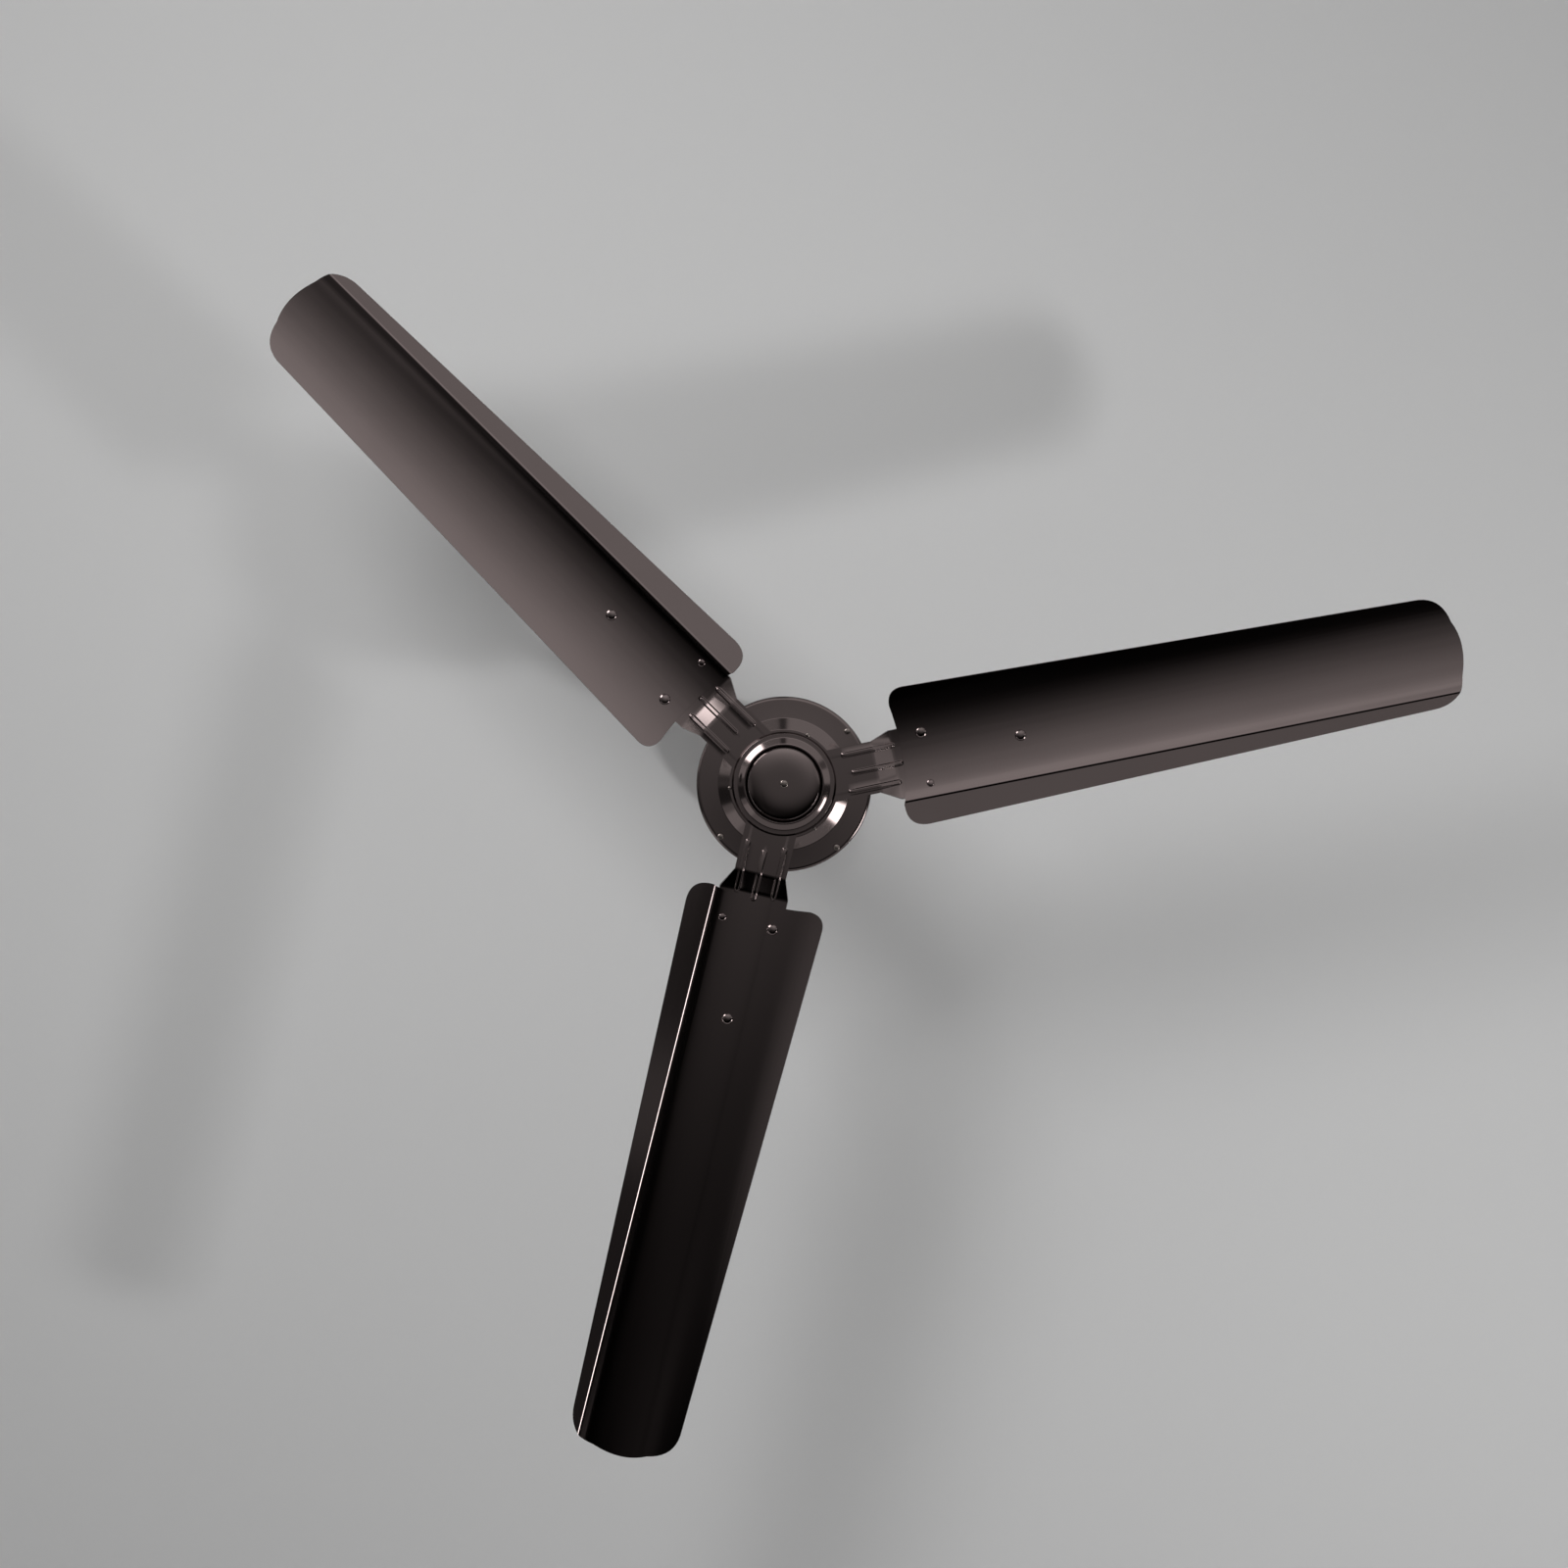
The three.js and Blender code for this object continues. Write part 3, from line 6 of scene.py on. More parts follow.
import json
import logging
import math
from collections.abc import Callable, Iterable, Sequence
from dataclasses import dataclass, field
from enum import Enum

import bmesh
import bpy
from mathutils import Matrix, Vector


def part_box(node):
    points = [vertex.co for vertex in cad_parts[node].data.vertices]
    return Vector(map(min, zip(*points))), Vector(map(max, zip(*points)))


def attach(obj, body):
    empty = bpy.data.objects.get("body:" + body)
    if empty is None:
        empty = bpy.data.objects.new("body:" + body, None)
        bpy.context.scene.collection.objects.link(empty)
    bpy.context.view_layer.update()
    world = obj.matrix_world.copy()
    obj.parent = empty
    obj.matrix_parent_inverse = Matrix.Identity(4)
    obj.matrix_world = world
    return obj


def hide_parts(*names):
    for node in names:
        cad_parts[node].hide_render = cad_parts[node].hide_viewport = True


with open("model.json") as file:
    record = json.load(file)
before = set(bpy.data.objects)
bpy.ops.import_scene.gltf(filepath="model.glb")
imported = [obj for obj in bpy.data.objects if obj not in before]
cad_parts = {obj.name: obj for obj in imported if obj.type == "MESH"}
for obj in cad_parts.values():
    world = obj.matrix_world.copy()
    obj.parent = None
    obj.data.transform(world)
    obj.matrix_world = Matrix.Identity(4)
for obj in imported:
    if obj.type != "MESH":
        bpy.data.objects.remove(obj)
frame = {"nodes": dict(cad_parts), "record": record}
LOG = logging.getLogger("ceiling_fan")

BLADE_ANGLES = (-11.66, -135.61, -256.43)
GAP = 0.0003
MERGE = 1e-7
BEVEL_TURN = 0.6
FULL_TURN = 2 * math.pi
MIX_INPUTS = (0, 6, 7)
MIX_OUTPUT = 2

Point = tuple[float, float]
Place = tuple[float, float, float]
Colour = tuple[float, float, float]
Shares = tuple[float, float, float]


class Body(Enum):
    """The moving bodies that pieces ride on."""

    HANGER = "hanger"
    SUSPENSION = "suspension"
    ROTOR = "rotor"
    TOP_CANOPY = "top_canopy_body"
    LOWER_CANOPY = "lower_canopy_body"


class Coat(Enum):
    """The record's material slots."""

    BLADE = "blade_sheet"
    PAINT = "painted_steel"
    CASTING = "painted_casting"
    CANOPY = "painted_canopy"
    SCREW = "dark_screw"
    ZINC = "zinc_steel"
    LAMINATED = "laminated_steel"
    COPPER = "copper_winding"
    RUBBER = "bobbin_rubber"
    PLASTIC = "moulded_plastic"


class Value:
    """A shader socket whose arithmetic adds Math nodes."""

    def __init__(self, tree: bpy.types.NodeTree, socket: bpy.types.NodeSocket) -> None:
        """Keeps the node tree and the socket that holds the value."""
        self.tree = tree
        self.socket = socket

    def _math(self, operation: str, *others: "Value | float") -> "Value":
        """Adds one Math node that takes this value first."""
        node = self.tree.nodes.new("ShaderNodeMath")
        node.operation = operation
        for place, item in zip(node.inputs, (self, *others)):
            if isinstance(item, Value):
                self.tree.links.new(item.socket, place)
            else:
                place.default_value = item
        return Value(self.tree, node.outputs[0])

    def __add__(self, other: "Value | float") -> "Value":
        """Sum."""
        return self._math("ADD", other)

    __radd__ = __add__

    def __sub__(self, other: "Value | float") -> "Value":
        """Difference."""
        return self._math("SUBTRACT", other)

    def __rsub__(self, other: float) -> "Value":
        """Difference from a number."""
        return self * -1.0 + other

    def __mul__(self, other: "Value | float") -> "Value":
        """Product."""
        return self._math("MULTIPLY", other)

    __rmul__ = __mul__

    def __truediv__(self, other: "Value | float") -> "Value":
        """Quotient."""
        return self._math("DIVIDE", other)

    def root(self) -> "Value":
        """Square root."""
        return self._math("SQRT")

    def at_most(self, limit: float) -> "Value":
        """The smaller of this value and a limit."""
        return self._math("MINIMUM", limit)

    def at_least(self, limit: float) -> "Value":
        """The larger of this value and a limit."""
        return self._math("MAXIMUM", limit)

    def clipped(self) -> "Value":
        """This value kept between 0 and 1."""
        return self._math("MINIMUM", 1.0)._math("MAXIMUM", 0.0)

    def step(self, low: float, high: float) -> "Value":
        """A smooth step that rises from 0 at low to 1 at high."""
        share = ((self - low) * (1 / (high - low))).clipped()
        return share * share * (3.0 - share * 2.0)


class Shader:
    """One material's node tree with its Principled shader."""

    def __init__(self, name: str) -> None:
        """Makes the material and finds its shader."""
        self.material = bpy.data.materials.new(name)
        self.material.use_nodes = True
        self.tree = self.material.node_tree
        self.surface = self.tree.nodes["Principled BSDF"]

    def node(self, kind: str, settings: dict | None = None, **sockets: object) -> bpy.types.Node:
        """Adds a node.

        Args:
            kind: The node's type.
            settings: Attributes set before its sockets.
            sockets: Values or links by socket name, with spaces as underscores.

        Returns:
            The new node.
        """
        node = self.tree.nodes.new(kind)
        for key, value in (settings or {}).items():
            setattr(node, key, value)
        for key, value in sockets.items():
            self.feed(node.inputs[key.replace("_", " ")], value)
        return node

    def feed(self, place: bpy.types.NodeSocket, value: object) -> None:
        """Links a socket or a Value to an input, or sets the input's number or colour."""
        if isinstance(value, Value):
            self.tree.links.new(value.socket, place)
        elif isinstance(value, bpy.types.NodeSocket):
            self.tree.links.new(value, place)
        else:
            place.default_value = value

    def where(self, scale: Sequence[float] = (1, 1, 1)) -> bpy.types.NodeSocket:
        """Object coordinates, stretched by a scale on each axis."""
        coordinates = self.node("ShaderNodeTexCoord")
        mapping = self.node("ShaderNodeMapping", Scale=scale, Vector=coordinates.outputs["Object"])
        return mapping.outputs[0]

    def noise(self, scale: float, detail: float = 3.0, stretch: Sequence[float] = (1, 1, 1)) -> Value:
        """Fractal noise on Object coordinates, from 0 to 1."""
        node = self.node("ShaderNodeTexNoise", Vector=self.where(stretch), Scale=scale, Detail=detail)
        return Value(self.tree, node.outputs["Fac"])

    def blend(self, share: Value, low: Colour, high: Colour) -> bpy.types.NodeSocket:
        """A colour between two, by a share that is kept between 0 and 1."""
        node = self.node("ShaderNodeMix", {"data_type": "RGBA"})
        for index, value in zip(MIX_INPUTS, (share.clipped(), (*low, 1.0), (*high, 1.0))):
            self.feed(node.inputs[index], value)
        return node.outputs[MIX_OUTPUT]

    def bump(self, height: Value, strength: float, distance: float) -> None:
        """Feeds a height through a Bump node to the shader's normal."""
        node = self.node("ShaderNodeBump", Strength=strength, Distance=distance, Height=height)
        self.feed(self.surface.inputs["Normal"], node.outputs[0])

    def set(self, **sockets: object) -> None:
        """Sets or links the shader's own sockets by name."""
        for key, value in sockets.items():
            self.feed(self.surface.inputs[key.replace("_", " ")], value)


@dataclass(frozen=True)
class SatinPaint:
    """Metallic brown-grey stove paint with a faint flake and orange-peel."""

    name: str = "satin_paint"
    dark: Colour = (0.103, 0.084, 0.083)
    light: Colour = (0.127, 0.105, 0.104)
    roughness: float = 0.11
    roughness_play: float = 0.012
    flake_scale: float = 1400.0
    flake_share: float = 0.3
    cloud_scale: float = 9.0
    peel_scale: float = 260.0
    peel_strength: float = 0.25
    peel_depth: float = 0.000002

    def build(self) -> bpy.types.Material:
        """Makes the paint."""
        shader = Shader(self.name)
        flake = shader.noise(self.flake_scale, detail=1.0)
        cloud = shader.noise(self.cloud_scale, detail=4.0)
        share = flake * self.flake_share + cloud * (1 - self.flake_share)
        play = self.roughness_play
        shader.set(Base_Color=shader.blend(share, self.dark, self.light), Metallic=1.0,
                   Roughness=cloud * play + flake * play + (self.roughness - play))
        shader.bump(shader.noise(self.peel_scale, detail=2.0), self.peel_strength, self.peel_depth)
        return shader.material


@dataclass(frozen=True)
class PlatedSteel:
    """Plated or turned steel with fine scratches and dull patches."""

    name: str
    dark: Colour
    light: Colour
    roughness: float = 0.28
    grain: Shares = (30.0, 30.0, 900.0)
    scratch_scale: float = 3.0
    scratch_tone: float = 0.5
    scratch_roughness: float = 0.1
    scratch_strength: float = 0.15
    scratch_depth: float = 0.00002
    patch_scale: float = 60.0
    patch_tone: float = 0.6
    patch_roughness: float = 0.18
    tone_offset: float = 0.05
    roughness_offset: float = 0.12

    def build(self) -> bpy.types.Material:
        """Makes the steel."""
        shader = Shader(self.name)
        scratch = shader.noise(self.scratch_scale, detail=4.0, stretch=self.grain)
        patch = shader.noise(self.patch_scale)
        share = scratch * self.scratch_tone + patch * self.patch_tone - self.tone_offset
        rough = patch * self.patch_roughness + scratch * self.scratch_roughness
        shader.set(Base_Color=shader.blend(share, self.dark, self.light), Metallic=1.0,
                   Roughness=rough + (self.roughness - self.roughness_offset))
        shader.bump(scratch, self.scratch_strength, self.scratch_depth)
        return shader.material


@dataclass(frozen=True)
class LayeredMetal:
    """Stacked sheets or wound turns: dark lines at an even pitch, with stains."""

    name: str
    dark: Colour
    light: Colour
    pattern: dict[str, str]
    pitch: float
    unevenness: float
    stain_scale: float
    stain_share: float
    metal: float
    roughness: float
    roughness_play: float
    line_strength: float
    line_depth: float

    def build(self) -> bpy.types.Material:
        """Makes the metal."""
        shader = Shader(self.name)
        wave = shader.node("ShaderNodeTexWave", self.pattern, Vector=shader.where(), Detail=2.0,
                           Scale=1 / (self.pitch * FULL_TURN), Distortion=self.unevenness)
        line = Value(shader.tree, wave.outputs["Fac"])
        stain = shader.noise(self.stain_scale)
        share = line * (1 - self.stain_share) + stain * self.stain_share
        shader.set(Base_Color=shader.blend(share, self.dark, self.light), Metallic=self.metal,
                   Roughness=stain * self.roughness_play + self.roughness)
        shader.bump(line, self.line_strength, self.line_depth)
        return shader.material


STACKED_STEEL = LayeredMetal(
    "stacked_steel", (0.06, 0.065, 0.075), (0.26, 0.27, 0.28), {"bands_direction": "Z"}, pitch=0.0008,
    unevenness=0.4, stain_scale=90.0, stain_share=0.5, metal=0.9, roughness=0.35, roughness_play=0.2,
    line_strength=0.5, line_depth=0.0001)
WOUND_COPPER = LayeredMetal(
    "wound_copper", (0.16, 0.045, 0.016), (0.55, 0.2, 0.075), {"wave_type": "RINGS", "rings_direction": "Z"},
    pitch=0.0007, unevenness=1.2, stain_scale=70.0, stain_share=0.4, metal=0.85, roughness=0.25,
    roughness_play=0.15, line_strength=0.8, line_depth=0.0003)


@dataclass(frozen=True)
class Moulding:
    """Rubber or plastic with a fine mould grain."""

    name: str
    dark: Colour
    light: Colour
    roughness: float = 0.5
    roughness_play: float = 0.1
    grain_scale: float = 900.0
    grain_share: float = 0.2
    grain_strength: float = 0.3
    grain_depth: float = 0.00004
    cloud_scale: float = 35.0

    def build(self) -> bpy.types.Material:
        """Makes the moulding."""
        shader = Shader(self.name)
        grain = shader.noise(self.grain_scale, detail=2.0)
        cloud = shader.noise(self.cloud_scale)
        share = cloud * (1 - self.grain_share) + grain * self.grain_share
        play = self.roughness_play
        shader.set(Base_Color=shader.blend(share, self.dark, self.light),
                   Roughness=grain * play + cloud * play + (self.roughness - play))
        shader.bump(grain, self.grain_strength, self.grain_depth)
        return shader.material


@dataclass(frozen=True)
class RoomPaint:
    """Matt pale paint of the room, with wide faint clouds."""

    name: str
    dark: Colour
    light: Colour
    cloud_scale: float
    roughness: float

    def build(self) -> Shader:
        """Makes the paint, still open to more nodes."""
        shader = Shader(self.name)
        cloud = shader.noise(self.cloud_scale)
        shader.set(Base_Color=shader.blend(cloud, self.dark, self.light), Roughness=self.roughness)
        return shader


class Finishes:
    """All finishes of the fan, one for each slot of the record."""

    def __init__(self) -> None:
        """Builds each material once."""
        paint = SatinPaint().build()
        self.materials: dict[Coat, bpy.types.Material] = {
            Coat.BLADE: paint,
            Coat.PAINT: paint,
            Coat.CASTING: SatinPaint("cast_paint", peel_depth=0.000003, roughness=0.13).build(),
            Coat.CANOPY: SatinPaint("canopy_paint", roughness=0.17).build(),
            Coat.SCREW: PlatedSteel("dark_screw", (0.10, 0.085, 0.08), (0.2, 0.175, 0.165), 0.26).build(),
            Coat.ZINC: PlatedSteel("zinc_plate", (0.36, 0.37, 0.36), (0.62, 0.62, 0.6), 0.34).build(),
            Coat.LAMINATED: STACKED_STEEL.build(),
            Coat.COPPER: WOUND_COPPER.build(),
            Coat.RUBBER: Moulding("bobbin_rubber", (0.012,) * 3, (0.03, 0.03, 0.031), 0.7).build(),
            Coat.PLASTIC: Moulding("ivory_moulding", (0.5, 0.47, 0.4), (0.66, 0.63, 0.55), 0.42).build(),
        }

    def dress_nodes(self, record: dict) -> None:
        """Gives every CAD node the finish of its slot, so that each one left showing is finished too."""
        slots = {coat.value: coat for coat in Coat}
        for entry in record["subparts"]:
            node = frame["nodes"][entry["node"]]
            node.data.materials.clear()
            node.data.materials.append(self.materials[slots[entry["material_slot"]]])


def turn(axis: str, degrees: float) -> Matrix:
    """A turn about one axis of the row frame."""
    return Matrix.Rotation(math.radians(degrees), 4, axis)


def shift(x: float = 0.0, y: float = 0.0, z: float = 0.0) -> Matrix:
    """A move by three distances."""
    return Matrix.Translation((x, y, z))


def spread(start: float, end: float, steps: int) -> list[float]:
    """Even angles in radians between two in degrees, with both of them."""
    return [math.radians(start + (end - start) * i / steps) for i in range(steps + 1)]


ALONG_X = turn("Y", 90)


class Form:
    """A mesh in the making, shaped by bmesh operators."""

    def __init__(self) -> None:
        """Starts an empty mesh."""
        self.mesh = bmesh.new()

    def _push(self, faces: list, depth: float, keep: bool) -> None:
        """Extrudes faces along Z, and keeps the first ones where the form needs them as its other side."""
        result = bmesh.ops.extrude_face_region(self.mesh, geom=faces, use_keep_orig=keep)
        moved = [item for item in result["geom"] if isinstance(item, bmesh.types.BMVert)]
        bmesh.ops.translate(self.mesh, verts=moved, vec=(0, 0, depth))

    def revolve(self, profile: Sequence[Point], steps: int = 96, ring: bool = False) -> "Form":
        """Spins a [radius, height] line a full turn about Z.

        Args:
            profile: Points of the line.
            steps: Facets around.
            ring: True where the line's end joins its start.

        Returns:
            This form.
        """
        verts = [self.mesh.verts.new((radius, 0, height)) for radius, height in profile]
        ends = [*verts[1:], verts[0]] if ring else verts[1:]
        edges = [self.mesh.edges.new(pair) for pair in zip(verts, ends)]
        bmesh.ops.spin(self.mesh, geom=[*verts, *edges], cent=(0, 0, 0), axis=(0, 0, 1), angle=FULL_TURN,
                       steps=steps, use_merge=True)
        return self.healed()

    def bar(self, radius: float, bottom: float, top: float, steps: int = 16) -> "Form":
        """Adds a round bar along Z."""
        bmesh.ops.create_cone(self.mesh, cap_ends=True, segments=steps, radius1=radius, radius2=radius,
                              depth=top - bottom, matrix=shift(z=(top + bottom) / 2))
        return self

    def block(self, low: Sequence[float], high: Sequence[float]) -> "Form":
        """Adds a box between two corners."""
        low, high = Vector(low), Vector(high)
        place = Matrix.Translation((low + high) / 2) @ Matrix.Diagonal((*(high - low), 1))
        bmesh.ops.create_cube(self.mesh, size=1, matrix=place)
        return self

    def bevel(self, width: float, segments: int = 2) -> "Form":
        """Rounds every sharp edge."""
        edges = [e for e in self.mesh.edges if len(e.link_faces) == 2 and e.calc_face_angle(0) > BEVEL_TURN]
        bmesh.ops.bevel(self.mesh, geom=edges, offset=width, offset_type="OFFSET", segments=segments, profile=0.5,
                        affect="EDGES", material=-1, clamp_overlap=True)
        return self

    def flat(self, outline: Sequence[Point]) -> "Form":
        """Adds one flat face from its outline, facing down."""
        verts = [self.mesh.verts.new((*point, 0)) for point in outline]
        face = self.mesh.faces.new(verts)
        face.normal_update()
        if face.normal.z > 0:
            face.normal_flip()
        return self

    def cut(self, place: Sequence[float], normal: Sequence[float]) -> "Form":
        """Splits the faces along a plane."""
        everything = [*self.mesh.verts, *self.mesh.edges, *self.mesh.faces]
        bmesh.ops.bisect_plane(self.mesh, geom=everything, dist=MERGE, plane_co=place, plane_no=normal)
        return self

    def lift(self, height: Callable[[float, float], float]) -> "Form":
        """Moves each vertex to the height of a surface at its place."""
        for vert in self.mesh.verts:
            vert.co.z = height(vert.co.x, vert.co.y)
        return self

    def extrude(self, depth: float) -> "Form":
        """Gives flat faces a depth along Z."""
        self._push(self.mesh.faces[:], depth, True)
        return self.healed()

    def recess(self, inside: Callable[[Vector], bool], depth: float) -> "Form":
        """Sinks the faces whose middle is inside a region, along Z."""
        self._push([face for face in self.mesh.faces if inside(face.calc_center_median())], depth, False)
        return self

    def loft(self, loops: Sequence[Sequence[Sequence[float]]], ring: bool = False) -> "Form":
        """Joins loops of equal count into a skin.

        Args:
            loops: The loops in order, each a list of points.
            ring: True where the last loop joins the first; otherwise both ends are capped.

        Returns:
            This form.
        """
        rows = []
        for loop in loops:
            verts = [self.mesh.verts.new(point) for point in loop]
            rows.append([self.mesh.edges.new((a, verts[i - 1])) for i, a in enumerate(verts)])
        for a, b in zip(rows, [*rows[1:], rows[0]] if ring else rows[1:]):
            bmesh.ops.bridge_loops(self.mesh, edges=[*a, *b])
        if not ring:
            for end in (rows[0], rows[-1]):
                bmesh.ops.contextual_create(self.mesh, geom=end)
        return self.healed()

    def wire(self, path: Sequence[Sequence[float]], radius: float, steps: int = 10) -> "Form":
        """Adds a round wire along a path with capped ends."""
        points = [Vector(p) for p in path]
        loops = []
        side = None
        for i, point in enumerate(points):
            way = (points[min(i + 1, len(points) - 1)] - points[max(i - 1, 0)]).normalized()
            side = way.orthogonal() if side is None else side - way * side.dot(way)
            side.normalize()
            other = way.cross(side)
            loops.append([point + radius * (side * math.cos(a) + other * math.sin(a))
                          for a in (FULL_TURN * k / steps for k in range(steps))])
        return self.loft(loops)

    def move(self, *steps: Matrix) -> "Form":
        """Moves the whole form by matrices, the first one first."""
        for matrix in steps:
            bmesh.ops.transform(self.mesh, matrix=matrix, verts=self.mesh.verts[:])
        return self

    def healed(self) -> "Form":
        """Merges doubles and turns the faces outwards."""
        bmesh.ops.remove_doubles(self.mesh, verts=self.mesh.verts[:], dist=MERGE)
        bmesh.ops.recalc_face_normals(self.mesh, faces=self.mesh.faces[:])
        return self

    def join(self, other: "Form") -> "Form":
        """Adds a copy of another form's mesh."""
        spare = bpy.data.meshes.new("spare")
        other.mesh.to_mesh(spare)
        self.mesh.from_mesh(spare)
        bpy.data.meshes.remove(spare)
        return self

    def piece(self, name: str, sharp: float = 32.0) -> bpy.types.Object:
        """Turns the form into an object at the origin, smooth but for its sharp edges."""
        data = bpy.data.meshes.new(name)
        self.mesh.to_mesh(data)
        self.mesh.free()
        data.shade_smooth()
        data.set_sharp_from_angle(angle=math.radians(sharp))
        made = bpy.data.objects.new(name, data)
        bpy.context.scene.collection.objects.link(made)
        return made


def arc(centre: Point, radius: float, start: float, end: float, steps: int = 6) -> list[Point]:
    """Points on an arc, angles in degrees.

    Args:
        centre: The arc's centre.
        radius: The arc's radius.
        start: Angle of the first point.
        end: Angle of the last point.
        steps: Spans along the arc.

    Returns:
        The points in order.
    """
    x, y = centre
    return [(x + radius * math.cos(a), y + radius * math.sin(a)) for a in spread(start, end, steps)]


def curve(start: Point, control: Point, end: Point, steps: int = 10) -> list[Point]:
    """Points on a quadratic curve between two points."""
    points = []
    for i in range(steps + 1):
        t = i / steps
        weights = ((1 - t) ** 2, 2 * t * (1 - t), t * t)
        points.append(tuple(sum(w * p[k] for w, p in zip(weights, (start, control, end))) for k in (0, 1)))
    return points


def dome(inner: float, outer: float, base: float, rise: float, steps: int) -> list[Point]:
    """Points of a quarter ellipse, from its foot at the outer radius to its crown at the inner one."""
    return [(inner + (outer - inner) * math.cos(a), base + rise * math.sin(a)) for a in spread(0, 90, steps)]


def lining(line: Sequence[Point], wall: float, sharpest: float = 0.3) -> list[Point]:
    """The other face of a thin wall.

    Args:
        line: Points of one face of the wall.
        wall: Thickness, on the left-hand side of the line's direction.
        sharpest: Smallest cosine of half a corner's turn that the wall still follows.

    Returns:
        One point of the other face for each point of the line.
    """
    points = [Vector(p) for p in line]
    other = []
    for i, point in enumerate(points):
        before = point - points[i - 1] if i else points[1] - point
        after = points[i + 1] - point if i + 1 < len(points) else point - points[i - 1]
        into, out = before.normalized(), after.normalized()
        mitre = (into + out).normalized()
        reach = wall / max(mitre.dot(out), sharpest)
        other.append((point.x - mitre.y * reach, point.y + mitre.x * reach))
    return other


@dataclass(frozen=True)
class ScrewSizes:
    """Shank radius, length, head radius, head height and recess arm of a pan-head screw.

    The others are shares: the rim, the recess, its reach down the crown and the skirt's second number of the
    head's height, the arm's width of its length, and the ledge and the skirt's first number of the head's radius.
    """

    shank: float
    length: float
    head: float
    height: float
    arm: float
    rim: float = 0.35
    recess: float = 0.5
    recess_reach: float = 0.3
    arm_width: float = 0.28
    skirt: Point = (0.97, 0.1)
    ledge: float = 0.92
    crown_steps: int = 8


def cross_screw(sizes: ScrewSizes, ledge_height: float = 0.0006, steps: int = 32) -> Form:
    """A pan-head screw with a cross recess, its head hanging below height zero.

    Args:
        sizes: The screw's sizes.
        ledge_height: How far the head reaches above height zero.
        steps: Facets around.

    Returns:
        The form.
    """
    head, height = sizes.head, sizes.height
    profile = [(head * math.sin(a), -height * (sizes.rim + (1 - sizes.rim) * math.cos(a)))
               for a in spread(0, 90, sizes.crown_steps)]
    profile += [(head * sizes.skirt[0], -height * sizes.skirt[1]), (head * sizes.ledge, ledge_height),
                (sizes.shank, ledge_height), (sizes.shank, sizes.length), (0, sizes.length)]
    form = Form().revolve(profile, steps)
    width, reach = sizes.arm * sizes.arm_width, sizes.arm
    for edge in (-reach, -width, width, reach):
        form.cut((edge, 0, 0), (1, 0, 0))
        form.cut((0, edge, 0), (0, 1, 0))

    def in_cross(middle: Vector) -> bool:
        """True on the crown's faces that lie in one of the two arms."""
        across, along = sorted((abs(middle.x), abs(middle.y)))
        return across < width and along < reach and middle.z < -height * sizes.recess_reach

    return form.recess(in_cross, height * sizes.recess)


@dataclass(frozen=True)
class HexSizes:
    """Shank radius, head height and thread pitch of a hexagon bolt, and how far its thread starts before its nut."""

    radius: float
    head: float
    pitch: float = 0.00125
    lead: float = 0.003
    corner_share: float = 1.75
    easing_share: float = 0.55
    thread_flare: float = 0.4
    thread_depth: float = 0.45

    @property
    def corner(self) -> float:
        """Radius over the hexagon's corners."""
        return self.radius * self.corner_share


def hexagon(sizes: HexSizes, bottom: float, bore: float = 0.0, sides: int = 24) -> Form:
    """A chamfered hexagon along Z, bored through where a bore is given.

    Args:
        sizes: The bolt's sizes.
        bottom: Height of its lower face.
        bore: Radius of its hole, or zero.
        sides: Points around.

    Returns:
        The form.
    """
    sixth = math.pi / 6
    flats = sizes.corner * math.cos(sixth)
    angles = [FULL_TURN * i / sides for i in range(sides)]
    full = [flats / math.cos((a + sixth) % (2 * sixth) - sixth) for a in angles]
    easing = (sizes.corner - flats) * sizes.easing_share
    top = bottom + sizes.head

    def loop(radii: Iterable[float], height: float) -> list[Place]:
        """Points at the given radii and one height."""
        return [(r * math.cos(a), r * math.sin(a), height) for r, a in zip(radii, angles)]

    chamfer = [min(r, flats) for r in full]
    rows = [loop(chamfer, bottom), loop(full, bottom + easing), loop(full, top - easing), loop(chamfer, top)]
    if not bore:
        return Form().loft(rows)
    flare = sizes.pitch * sizes.thread_flare
    hole = ((bore + flare, top), (bore, top - flare), (bore, bottom + flare), (bore + flare, bottom))
    return Form().loft([*rows, *(loop([radius] * sides, height) for radius, height in hole)], ring=True)


def threaded(sizes: HexSizes, start: float, thread: float, tip: float, steps: int = 28) -> Form:
    """A shank along Z whose last stretch is threaded, with an eased tip.

    Args:
        sizes: The bolt's sizes.
        start: Height of its plain end.
        thread: Height where the thread starts.
        tip: Height of its threaded end.
        steps: Facets around.

    Returns:
        The form.
    """
    profile = [(0.0, start), (sizes.radius, start), (sizes.radius, thread)]
    valley = sizes.pitch * sizes.thread_depth
    root = sizes.radius - valley
    height = thread
    while height + sizes.pitch < tip - sizes.pitch * sizes.thread_flare:
        profile += [(root, height + valley), (root, height + sizes.pitch - valley),
                    (sizes.radius, height + sizes.pitch)]
        height += sizes.pitch
    profile += [(root, tip), (0.0, tip)]
    return Form().revolve(profile, steps)


